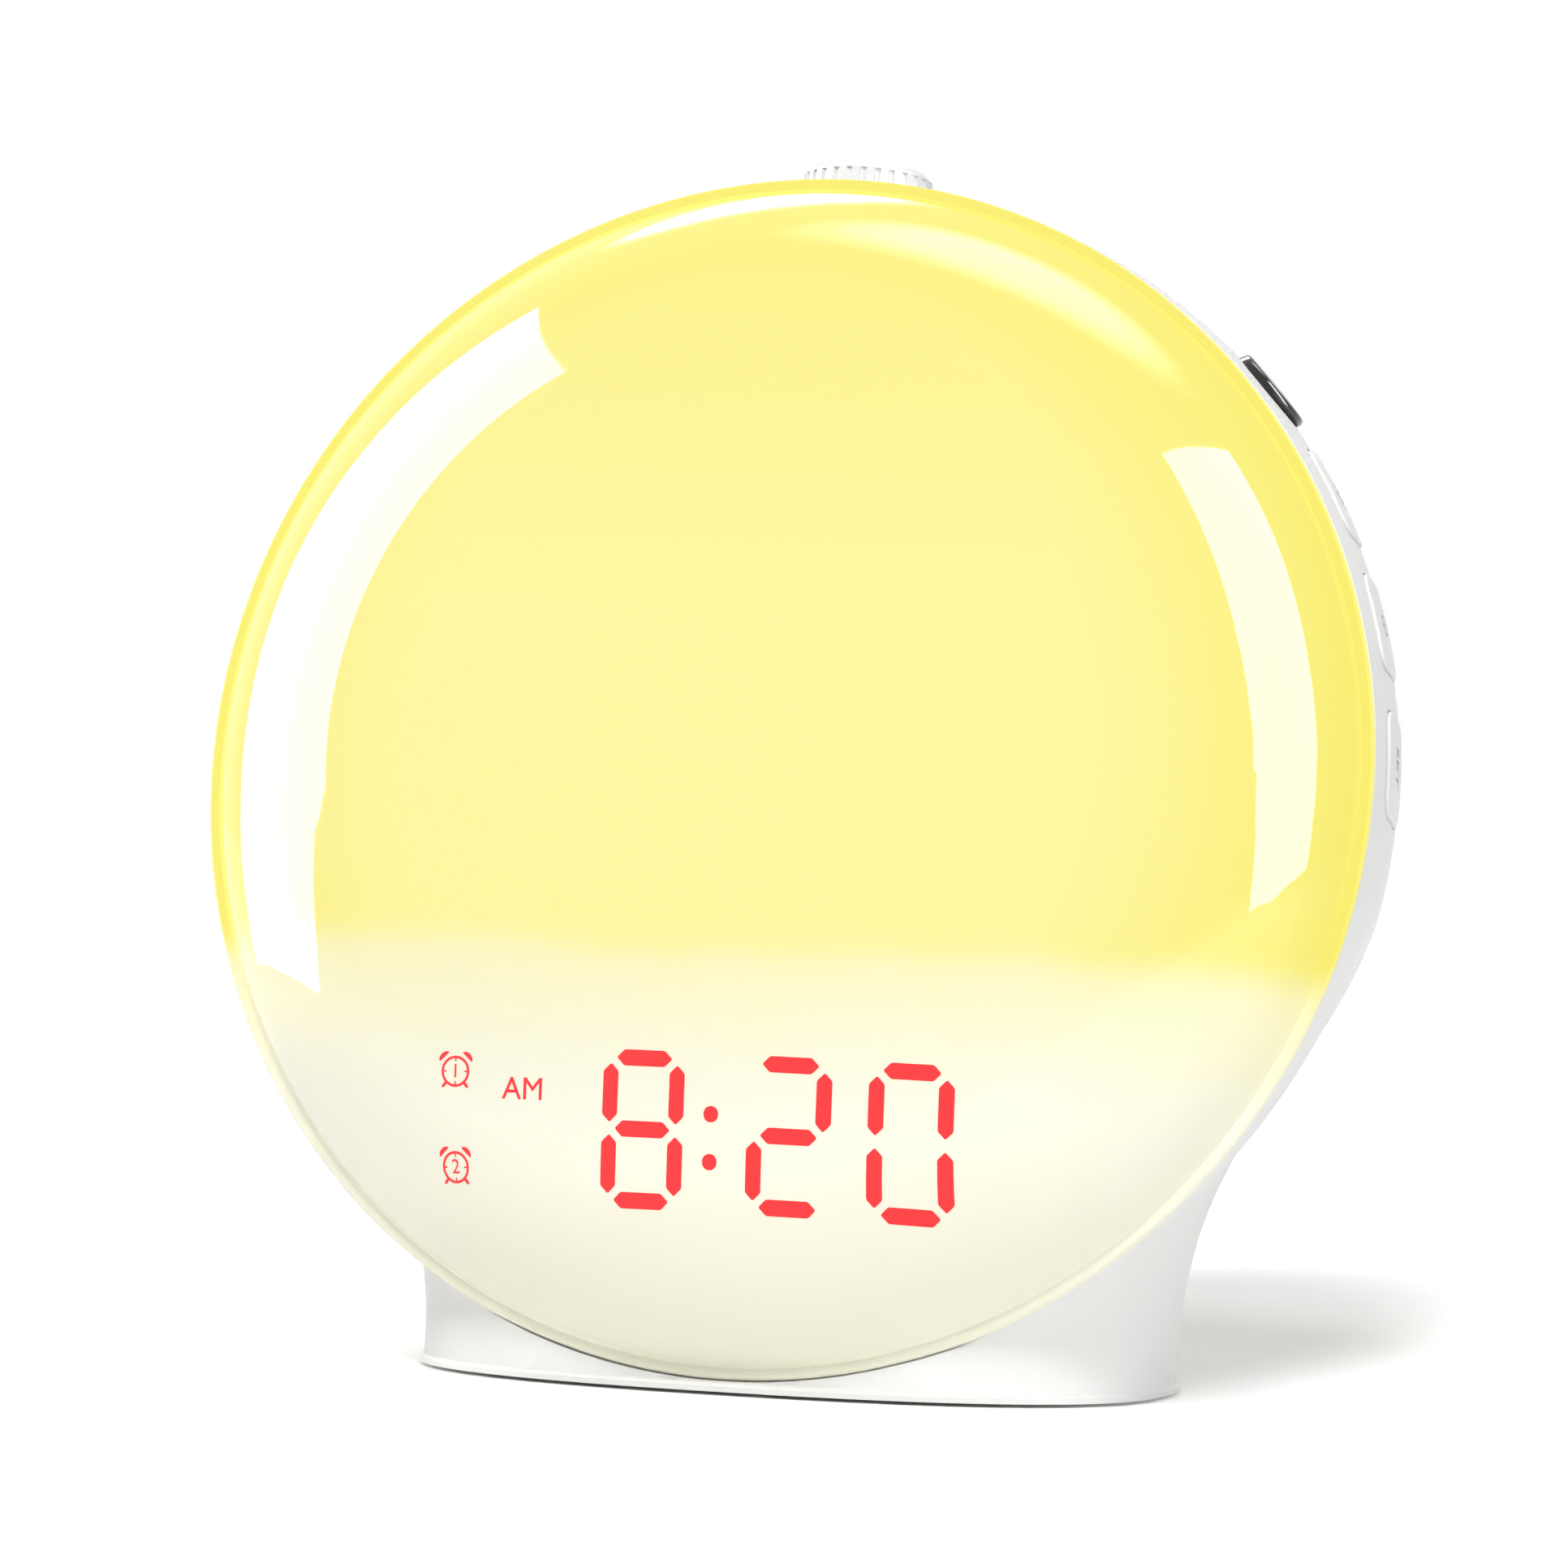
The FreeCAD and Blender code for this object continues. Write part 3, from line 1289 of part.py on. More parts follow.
ROOF = CELL_TOP + 0.3
holder = without(
    "holder",
    joined(
        "holder_solid",
        cylinder("holder_flange", "holder_flange_diameter", 1.2, 0, 0, TRAY_TOP),
        cylinder("holder_ring", "cell_diameter + 2 * (cell_gap + holder_wall)", ROOF + 1.4 - TRAY_TOP, 0, 0, TRAY_TOP),
    ),
    cylinder("holder_well", "cell_diameter + 2 * cell_gap", ROOF - TRAY_TOP + 5, 0, 0, TRAY_TOP - 5),
)
node(holder, "battery_holder", Placement(Vector(0, BOARD_Y, 0), UPRIGHT))
contact = box("cell_contact_strip", 12, 5, 0.3, 0, 0, CELL_TOP)
node(contact, "cell_contact")
turned(contact, Placement(Vector(-6, BOARD_Y - 2.5, CELL_TOP), UPRIGHT))

# Main board and what is soldered to it
main_board = without(
    "main_board_cut",
    box(
        "main_board_block",
        "main_board_length",
        "main_board_width",
        "board_thickness",
        0,
        "main_board_setback",
        "main_board_level",
    ),
    pins("main_board_holes", "small_screw_shank + fit_gap", 10, at_level(board_spots, size.main_board_level - 5)),
)
node(main_board, "main_board")
screw_group("main_board_screws", SMALL_SCREW, at_level(board_spots, BOARD_TOP), UPRIGHT)
INLET_REAR = 33.5
socket = without(
    "socket",
    joined(
        "socket_solid",
        box("socket_block", "inlet_body_width", "inlet_body_length", "inlet_body_height", 0, -5.5, -5.5),
        turned(cylinder("socket_nose", "inlet_nose_diameter", 5.4), Placement(Vector(0, 0, 0), INLET_TURN)),
    ),
    turned(cylinder("socket_bore", "inlet_bore", 9.4), Placement(Vector(0, -4, 0), INLET_TURN)),
)
pin = turned(cylinder("socket_pin", "inlet_pin", 8), Placement(Vector(0, -4, 0), INLET_TURN))
node(
    joined("socket_with_pin", socket, pin),
    "dc_socket",
    Placement(Vector(size.inlet_x, INLET_REAR, INLET_LEVEL), UPRIGHT),
)
parts = [
    box("controller_chip", 10, 10, 1.6, 10, 10, BOARD_TOP),
    box("regulator_chip", 6, 5, 1.6, -18, 1, BOARD_TOP),
    cylinder("storage_capacitor", 8, 9, 0, 26, BOARD_TOP),
    cylinder("second_capacitor", 6.3, 7, -9, 27, BOARD_TOP),
    box("clock_crystal", 7, 2.5, 2, -6, 14, BOARD_TOP),
    box("coil", 7, 7, 4, -19, 9.5, BOARD_TOP),
]
node(group("board_components", *parts), "board_parts")

# Rear cover: a round plate with sound holes, set out from the speaker's middle
SPEAKER = REAR * Placement(Vector(0, size.speaker_height, 0), UPRIGHT)
cover, cover_sketch = body_with_sketch("cover", "XY_Plane")
circle(cover_sketch, "2 * cover_radius", 0, "-speaker_height")
cover_pad = feature(cover, "Pad", "cover_disc", cover_sketch, Length="cover_thickness")
cover_pad.Reversed = True
post_sketch = sketch_on(cover, "speaker_post_circles", "XY_Plane", "-cover_thickness")
clamp_pilot_sketch = sketch_on(cover, "speaker_pilot_circles", "XY_Plane", "-cover_thickness - speaker_flange")
for angle in COVER_SCREW_ANGLES:
    where = ("speaker_clamp_radius * cos(%d)" % angle, "speaker_clamp_radius * sin(%d)" % angle)
    circle(post_sketch, "speaker_post_diameter", *where)
    circle(clamp_pilot_sketch, SMALL_PILOT, *where)
posts = feature(cover, "Pad", "speaker_posts", post_sketch, Length="speaker_flange")
posts.Reversed = True
clamp_pilots = feature(cover, "Pocket", "speaker_pilots", clamp_pilot_sketch, Length="speaker_screw_length + 0.2")
clamp_pilots.Reversed = True
hole_sketch = sketch_on(cover, "cover_screw_circles", "XY_Plane")
head_sketch = sketch_on(cover, "cover_head_circles", "XY_Plane")
for angle in COVER_SCREW_ANGLES:
    where = (
        "cover_screw_radius * cos(%d)" % angle,
        "cover_screw_radius * sin(%d) - speaker_height" % angle,
    )
    circle(hole_sketch, "screw_shank + fit_gap", *where)
    circle(head_sketch, "screw_head + 2 * fit_gap", *where)
feature(cover, "Pocket", "cover_screw_holes", hole_sketch, Length="cover_thickness")
feature(cover, "Pocket", "cover_screw_seats", head_sketch, Length="screw_head_height + 0.2")
middle_sketch = sketch_on(cover, "sound_hole_circle", "XY_Plane")
circle(middle_sketch, "grille_hole")
feature(cover, "Pocket", "sound_hole", middle_sketch, Length="cover_thickness")
for ring in range(1, GRILLE_RINGS + 1):
    ring_sketch = sketch_on(cover, "sound_ring_circle_%d" % ring, "XY_Plane")
    circle(ring_sketch, "grille_hole", "grille_pitch * %d" % ring)
    ring_hole = feature(cover, "Pocket", "sound_ring_hole_%d" % ring, ring_sketch, Length="cover_thickness")
    polar(cover, "sound_ring_%d" % ring, ring_hole, 6 * ring)
node(cover, "rear_cover", SPEAKER)
cover_head_level = -size.screw_head_height - 0.2
screw_group("rear_screws", SCREW, at_level(COVER_SPOTS, cover_head_level), UPRIGHT, REAR)

# Speaker behind the sound holes
FLANGE_REAR = -size.cover_thickness - size.speaker_flange
BASKET_END = -size.cover_thickness - size.speaker_depth
BASKET_SHELL = 1.0
rim_r = size.speaker_diameter / 2
cone_r = size.speaker_cone_diameter / 2
throat_r = size.speaker_throat_diameter / 2
seat_r = size.magnet_diameter / 2 - 1
basket = doc.addObject("PartDesign::Body", "basket")
revolved(
    basket,
    "basket_form",
    [
        (cone_r, -size.cover_thickness),
        (rim_r, -size.cover_thickness),
        (rim_r, FLANGE_REAR),
        (cone_r + BASKET_SHELL, FLANGE_REAR),
        (seat_r, BASKET_END),
        (throat_r - 3, BASKET_END),
        (throat_r - 3, BASKET_END + BASKET_SHELL),
        (seat_r - BASKET_SHELL, BASKET_END + BASKET_SHELL),
        (cone_r, FLANGE_REAR),
        (cone_r, -size.cover_thickness),
    ],
)
node(basket, "speaker_frame", SPEAKER)
paper = doc.addObject("PartDesign::Body", "paper")
revolved(
    paper,
    "cone_form",
    [
        (0, FLANGE_REAR - 2.2),
        (throat_r - 4, FLANGE_REAR - 3.6),
        (cone_r, FLANGE_REAR + 0.9),
        (cone_r, FLANGE_REAR + 0.9 - size.speaker_paper),
        (throat_r - 3.5, FLANGE_REAR - 3.7 - size.speaker_paper),
        (throat_r - 3.5, BASKET_END),
        (throat_r - 4.5, BASKET_END),
        (throat_r - 4.5, FLANGE_REAR - 3.7 - size.speaker_paper),
        (0, FLANGE_REAR - 2.2 - size.speaker_paper),
        (0, FLANGE_REAR - 2.2),
    ],
)
node(paper, "speaker_cone", SPEAKER)
magnet = cylinder("magnet_ring", "magnet_diameter", "magnet_height")
node(
    turned(magnet, SPEAKER * Placement(Vector(0, 0, BASKET_END - size.magnet_height), UPRIGHT)), "speaker_magnet"
)
screw_group(
    "speaker_screws",
    CLAMP_SCREW,
    [on_ring(size.speaker_clamp_radius, angle, FLANGE_REAR) for angle in COVER_SCREW_ANGLES],
    TURNED_OVER,
    SPEAKER,
)

# Plugs and leads between the boards


def rounded_path(points, radius):
    """Line through the points whose corners are arcs."""
    edges = []
    here = points[0]
    for before, corner, after in zip(points, points[1:], points[2:]):
        back = (before - corner).normalize()
        ahead = (after - corner).normalize()
        half = back.getAngle(ahead) / 2
        reach = radius / math.tan(half)
        middle = corner + (back + ahead).normalize() * (radius / math.sin(half) - radius)
        edges.append(Part.LineSegment(here, corner + back * reach).toShape())
        edges.append(Part.Arc(corner + back * reach, middle, corner + ahead * reach).toShape())
        here = corner + ahead * reach
    edges.append(Part.LineSegment(here, points[-1]).toShape())
    return Part.Wire(edges)


def flat_lead(points, width, thickness, radius):
    """Ribbon across x that follows a path in an upright plane."""
    along = (points[1] - points[0]).normalize()
    across = Vector(1, 0, 0) * (width / 2)
    up = along.cross(Vector(1, 0, 0)) * (thickness / 2)
    start = points[0]
    corners_3d = [start + across + up, start - across + up, start - across - up, start + across - up]
    profile = Part.makePolygon(corners_3d + corners_3d[:1])
    return rounded_path(points, radius).makePipeShell([profile], True, False)


def round_lead(points, diameter, radius):
    along = (points[1] - points[0]).normalize()
    profile = Part.Wire(Part.makeCircle(diameter / 2, points[0], along))
    return rounded_path(points, radius).makePipeShell([profile], True, False)


def in_world(frame, x, y, z):
    return frame.multVec(Vector(x, y, z))


PLUG_HEIGHT = 4.0
PLUG_TOP = BOARD_TOP + PLUG_HEIGHT
inward = FRONT.Rotation.multVec(Vector(0, 0, -1))


def lead_route(start, plug_y):
    """From a board in the leaning front, straight back, then down into a plug on the main board."""
    turn_point = start + inward * ((plug_y - start.y) / inward.y)
    return [start, turn_point, Vector(start.x, plug_y, PLUG_TOP)]


DISPLAY_PLUG_Y = -3.0
LIGHT_PLUG_Y = 3.0
SPEAKER_PLUG_Y = 19.0
display_plug_face = board_level - PLUG_HEIGHT
ribbon_start = in_world(FRONT, 0, -50, display_plug_face)
ribbon = flat_lead(
    lead_route(ribbon_start, DISPLAY_PLUG_Y), size.ribbon_width, size.ribbon_thickness, size.ribbon_bend
)
node(shaped("ribbon", ribbon), "display_ribbon")
light_leads = [
    round_lead(
        lead_route(in_world(FRONT, side * size.lead_spacing / 2, -10, LIGHT_BOARD_TOP), LIGHT_PLUG_Y),
        size.lead_diameter,
        size.lead_bend,
    )
    for side in (-1, 1)
]
node(shaped("light_lead_pair", Part.makeCompound(light_leads)), "light_leads")
speaker_leads = []
SPEAKER_TAGS = ((23.2, -6.0), (21.0, -11.5))
for side, tag in zip((-1, 1), SPEAKER_TAGS):
    start = in_world(SPEAKER, *tag, FLANGE_REAR - 0.2)
    x = -20 + side * size.lead_spacing / 2
    route = [start, Vector(x, SPEAKER_PLUG_Y, start.z), Vector(x, SPEAKER_PLUG_Y, PLUG_TOP)]
    speaker_leads.append(round_lead(route, size.lead_diameter, size.lead_bend))
node(shaped("speaker_lead_pair", Part.makeCompound(speaker_leads)), "speaker_leads")
plugs = [
    box("display_plug", "ribbon_width + 3", 5, PLUG_HEIGHT, 0, DISPLAY_PLUG_Y, BOARD_TOP),
    box("light_plug", 8, 4.5, PLUG_HEIGHT, 0, LIGHT_PLUG_Y, BOARD_TOP),
    box("speaker_plug", 8, 4.5, PLUG_HEIGHT, -20, SPEAKER_PLUG_Y, BOARD_TOP),
]
front_plug = box("front_plug", "ribbon_width + 3", 5, PLUG_HEIGHT, 0, -50, display_plug_face)
node(group("main_board_plugs", *plugs), "board_plugs")
node(front_plug, "display_board_plug")
turned(
    front_plug,
    FRONT * Placement(Vector(-size.ribbon_width / 2 - 1.5, -52.5, display_plug_face), UPRIGHT),
)

# Check every form and write one file per sub-part
doc.recompute()
for item in doc.Objects:
    if "Invalid" in item.State or "Error" in item.State:
        raise RuntimeError("%s did not build: %s" % (item.Name, item.State))
os.makedirs("parts", exist_ok=True)
for item in NODES:
    if item.Shape.isNull() or not item.Shape.isValid() or not item.Shape.Solids:
        raise RuntimeError("%s has no good shape" % item.Label)
    item.Shape.exportStep("parts/%s.step" % item.Label)
    print("%-22s %3d solids %9.1f mm3" % (item.Label, len(item.Shape.Solids), item.Shape.Volume))
print(len(NODES), "sub-parts")
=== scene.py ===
import math

import bpy
from mathutils import Matrix, Vector


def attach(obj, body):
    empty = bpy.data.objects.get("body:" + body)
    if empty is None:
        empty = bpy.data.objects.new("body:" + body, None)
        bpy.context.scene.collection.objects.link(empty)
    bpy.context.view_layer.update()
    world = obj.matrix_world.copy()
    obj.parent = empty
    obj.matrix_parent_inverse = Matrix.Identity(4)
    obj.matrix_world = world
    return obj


bl_info = {
    "name": "Sunrise Alarm Clock",
    "version": (1, 0, 0),
    "blender": (4, 5, 0),
    "location": "View3D > Sidebar > Clock",
    "description": "Dresses and lights a sunrise alarm clock",
    "category": "Object",
}

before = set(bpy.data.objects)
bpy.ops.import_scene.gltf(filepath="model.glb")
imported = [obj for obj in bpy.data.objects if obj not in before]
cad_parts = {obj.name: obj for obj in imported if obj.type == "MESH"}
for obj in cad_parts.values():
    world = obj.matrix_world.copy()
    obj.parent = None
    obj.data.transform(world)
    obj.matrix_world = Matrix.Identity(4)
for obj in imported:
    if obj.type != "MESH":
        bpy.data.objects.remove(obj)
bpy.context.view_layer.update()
MM = 0.001

# Front frame: x right, y up the leaning front, z out of it, from the middle of the rim
RIM_RADIUS = 82 * MM
LEAN = math.radians(9.46)
RIM_MIDDLE = Vector((0.0, -0.0145, 0.082755))
FRONT = Matrix.Translation(RIM_MIDDLE) @ Matrix.Rotation(math.radians(90) - LEAN, 4, "X")
UP_FRONT = FRONT.to_3x3() @ Vector((0, 1, 0))
# Side frame: x up along the row of keys, y to the front, z out of the side, from the front's axis
SIDE_ANGLE = math.radians(23.4)
KEYS_BEHIND_RIM = 13 * MM
SIDE = (
    FRONT
    @ Matrix.Translation((0, 0, -KEYS_BEHIND_RIM))
    @ Matrix.Rotation(SIDE_ANGLE, 4, "Z")
    @ Matrix.Rotation(math.radians(90), 4, "Y")
    @ Matrix.Rotation(math.radians(90), 4, "Z")
)
KEY_PLACES = {
    name: RIM_RADIUS * math.sin(math.radians(angle) - SIDE_ANGLE)
    for name, angle in (("lower", 3.8), ("middle", 17.3), ("upper", 30.5))
}
# Two side panels that the dome reflects as its bright strips: outlines seen along x, as y and z in metres
LEFT_PANEL_X = -0.34
LEFT_PANEL = (
    (0.055, 0.481), (0.067, 0.396), (0.081, 0.319), (0.088, 0.251), (0.091, 0.199), (0.079, 0.157),
    (0.068, 0.119), (0.061, 0.081), (0.066, 0.041), (0.083, 0.004), (-0.14, 0.001), (-0.181, 0.038),
    (-0.223, 0.092), (-0.268, 0.144), (-0.308, 0.199), (-0.307, 0.242), (-0.313, 0.285), (-0.321, 0.327),
    (-0.34, 0.376), (-0.374, 0.436), (-0.423, 0.511),
)
RIGHT_PANEL_X = 0.75
RIGHT_PANEL = (
    (-0.677, 1.455), (-0.197, 1.215), (0.12, 1.061), (0.067, 0.807), (0.021, 0.6), (-0.022, 0.412),
    (-0.039, 0.245), (-0.057, 0.135), (-0.06, 0.053), (-0.223, 0.022), (-0.406, 0.004), (-0.458, 0.14),
    (-0.505, 0.268), (-0.56, 0.453), (-0.597, 0.636), (-0.621, 0.84), (-0.649, 1.099),
)
# Soft panels overhead: name, middle, reach to the faded edge, share of the side panels' strength
SOFT_LEVEL = 1.6
SOFT_PANELS = (
    ("top_panel", (-0.84, 1.5), (0.5, 0.65), 0.75),
    ("high_panel", (0.14, 0.3), (0.76, 0.5), 0.42),
)
# Lamps, all turned to one point: name, place, share of the key lamp's power, width
LAMPS = (
    ("key_lamp", (0.03, -0.8, 0.95), 1.0, 0.35),
    ("top_lamp", (0.0, 0.25, 1.25), 0.15, 0.6),
    ("right_lamp", (0.9, -0.3, 0.5), 0.33, 0.5),
)
LAMP_TARGET = Vector((0, 0, 0.08))
# Oval on the floor in which the clock's shadow shows; outside it the floor is painted white, which hides the
# shadow there
SHADOW_MIDDLE, SHADOW_REACH = (0, 0.08, 0), (0.092, 0.34, 1)
# Light of the dome: strength beside its reflections, and how far it spills below its lower end
GLOW_STRENGTH = 0.864
SPILL_DEPTH = 21 * MM
# Camera, fitted to the rim, the foot and the digits: its direction from the rim's middle and its roll
# in degrees, its distance in metres, and where it shows the rim's middle, in pixels off the photo's middle
CAMERA_AZIMUTH, CAMERA_ELEVATION, CAMERA_ROLL = 18.343, -0.028, 1.985
CAMERA_DISTANCE = 1.012126
PHOTO_WIDTH = 1932
RIM_SHIFT = (-8.95, -15.35)
SENSOR_WIDTH = 36
# Digits: middle across the front in millimetres, lit bars by their usual letters
DIGITS = ((-8.1, "abcdefg"), (12.1, "abged"), (28.4, "abcdef"))
COLON_PLACE, COLON_LEVELS, COLON_SIZE = 1.4, (49.0, 55.2), (2.0, 2.1)


def srgb(code):
    """Linear colour of an sRGB hex code."""
    values = [int(code[at : at + 2], 16) / 255 for at in (0, 2, 4)]
    return [v / 12.92 if v <= 0.04045 else ((v + 0.055) / 1.055) ** 2.4 for v in values]


def colour_property(name, description, code):
    return bpy.props.FloatVectorProperty(
        name=name, description=description, subtype="COLOR", min=0, max=1, default=srgb(code)
    )


def length_property(name, description, default):
    return bpy.props.FloatProperty(
        name=name, description=description, default=default, unit="LENGTH", subtype="DISTANCE", precision=5
    )


class ClockColours(bpy.types.PropertyGroup):
    dome_middle: colour_property("Dome middle", "Light in the middle of the dome", "fef5a1")
    dome_side: colour_property("Dome side", "Light near the dome's edge", "f7ec71")
    dome_spill: colour_property("Dome spill", "Light that spills below the shelf", "fbf5b0")
    dome_low: colour_property("Dome below", "Milky plastic of the dome below the light", "f6f5e3")
    digits: colour_property("Digits", "Light of the digits and marks", "fe3d40")
    housing: colour_property("Housing", "Housing, cover and side keys", "efefef")
    base: colour_property("Base", "Base plate and battery door", "e6e6e6")
    dial: colour_property("Dial", "Dial on top", "ebebeb")
    power_key: colour_property("Power key", "Round key", "0b0b0d")
    print_ink: colour_property("Print", "Ink of the small marks", "8a8a8e")


class ClockSizes(bpy.types.PropertyGroup):
    digit_height: length_property("Digit height", "Height of a digit between bar middles", 18.5 * MM)
    digit_width: length_property("Digit width", "Width of a digit between bar middles", 9.3 * MM)
    bar_width: length_property("Bar width", "Width of one lit bar", 2.1 * MM)
    bar_joint: length_property("Bar joint", "Dark gap between two bars", 1.55 * MM)
    digit_level: length_property("Digit level", "Middle of the digits below the rim's middle", 51.4 * MM)
    glow_level: length_property("Glow level", "Lower end of the light below the rim's middle", 27.5 * MM)
    glow_blur: length_property("Glow blur", "Half height of the light's soft lower end", 4.5 * MM)
    ink_lift: length_property("Ink lift", "How far marks stand on their surface", 0.05 * MM)


class ClockStage(bpy.types.PropertyGroup):
    lens: bpy.props.FloatProperty(
        name="Lens", description="Focal length of the camera", default=172.88, unit="CAMERA"
    )
    glow: bpy.props.FloatProperty(name="Glow", description="Strength of the dome's light", default=1.0, min=0)
    key_power: bpy.props.FloatProperty(
        name="Key power", description="Power of the main lamp in watts", default=8.4, min=0, subtype="POWER"
    )
    fill: bpy.props.FloatProperty(name="Fill", description="Strength of the even light", default=0.25, min=0)
    reflections: bpy.props.FloatProperty(
        name="Reflections", description="Strength of the panels that the dome reflects", default=18.0, min=0
    )


def settings():
    scene = bpy.context.scene
    return scene.clock_colours, scene.clock_sizes, scene.clock_stage


# Materials


def add_node(tree, kind, inputs=(), **values):
    """Add a node and set its properties and its inputs, by place or by name; nodes and sockets are linked."""
    node = tree.nodes.new(kind)
    for key, value in values.items():
        setattr(node, key, value)
    for key, value in inputs.items() if isinstance(inputs, dict) else enumerate(inputs):
        if isinstance(value, bpy.types.Node):
            value = next(socket for socket in value.outputs if socket.enabled)
        if isinstance(value, bpy.types.NodeSocket):
            tree.links.new(value, node.inputs[key])
        else:
            node.inputs[key].default_value = value
    return node


def new_material(name):
    material = bpy.data.materials.new(name)
    material.use_nodes = True
    material.node_tree.nodes.clear()
    return material, material.node_tree


def rgba(colour, share=1.0):
    """Colour with its alpha, darkened to a share of itself."""
    return (*(channel * share for channel in colour), 1.0)


def per_mm(size):
    """Scale of a pattern whose features are about this many millimetres across."""
    return 1000 / size


def colour_mix(tree, factor, first, second):
    """Blend of two colours, which go into inputs 6 and 7 of a mix node."""
    return add_node(tree, "ShaderNodeMix", {"Factor": factor, 6: first, 7: second}, data_type="RGBA")


def soft_range(tree, value, low, high, *ends):
    """Map low to high onto the two ends, or onto 0 and 1, with a soft start and end."""
    return add_node(tree, "ShaderNodeMapRange", (value, low, high, *ends), interpolation_type="SMOOTHSTEP")


def show_surface(tree, surface):
    shader = add_node(tree, "ShaderNodeBsdfPrincipled", surface)
    add_node(tree, "ShaderNodeOutputMaterial", {"Surface": shader})


def moulded_plastic(name, colour, roughness, grain_mm=0.6, grain_depth_mm=0.0015, shine=0.2):
    """Moulded plastic with the grain of its mould and a slow change of tone."""
    material, tree = new_material(name)
    point = add_node(tree, "ShaderNodeTexCoord").outputs["Object"]
    # The real grain is about 0.05 mm, too fine to show, so it is drawn coarser
    grain = add_node(tree, "ShaderNodeTexNoise", {"Vector": point, "Scale": per_mm(grain_mm), "Detail": 2})
    slow = add_node(tree, "ShaderNodeTexNoise", {"Vector": point, "Scale": per_mm(38), "Detail": 3})
    surface = {
        "Base Color": colour_mix(tree, slow, rgba(colour, 0.97), rgba(colour)),
        "Roughness": soft_range(tree, grain, 0.3, 0.7, roughness - 0.05, roughness + 0.05),
        "Normal": add_node(tree, "ShaderNodeBump", {"Height": grain, "Distance": grain_depth_mm * MM}),
        "IOR": 1.53,
        "Specular IOR Level": shine,
    }
    show_surface(tree, surface)
    return material


def plated_metal(name, colour, roughness):
    """Plated metal with faint tumbling marks, drawn at the 0.8 mm of the larger ones."""
    material, tree = new_material(name)
    point = add_node(tree, "ShaderNodeTexCoord").outputs["Object"]
    marks = add_node(tree, "ShaderNodeTexNoise", {"Vector": point, "Scale": per_mm(0.8), "Detail": 4})
    surface = {
        "Base Color": colour_mix(tree, marks, rgba(colour, 0.86), rgba(colour)),
        "Roughness": soft_range(tree, marks, 0.25, 0.75, roughness - 0.08, roughness + 0.08),
        "Normal": add_node(tree, "ShaderNodeBump", {"Height": marks, "Distance": 0.004 * MM}),
        "Metallic": 1.0,
    }
    show_surface(tree, surface)
    return material


def circuit_board(name, mask, trace):
    """Glass-fibre board: solder mask over etched traces, with the weave just showing."""
    material, tree = new_material(name)
    point = add_node(tree, "ShaderNodeTexCoord").outputs["Object"]
    # At this scale a brick is 3 mm long and 1.2 mm high: the pitch of the etched traces
    bricks = {"Vector": point, "Scale": 300, "Mortar Size": 0.05, "Brick Width": 0.9, "Row Height": 0.35}
    traces = add_node(tree, "ShaderNodeTexBrick", bricks).outputs["Fac"]
    weave = add_node(tree, "ShaderNodeTexNoise", {"Vector": point, "Scale": per_mm(0.5), "Detail": 2})
    cloth = colour_mix(tree, weave, rgba(mask, 0.85), rgba(mask))
    surface = {
        "Base Color": colour_mix(tree, traces, cloth, rgba(trace)),
        "Roughness": soft_range(tree, weave, 0.3, 0.7, 0.28, 0.4),
        "Normal": add_node(tree, "ShaderNodeBump", {"Height": traces, "Distance": 0.03 * MM}),
        "IOR": 1.55,
    }
    show_surface(tree, surface)
    return material


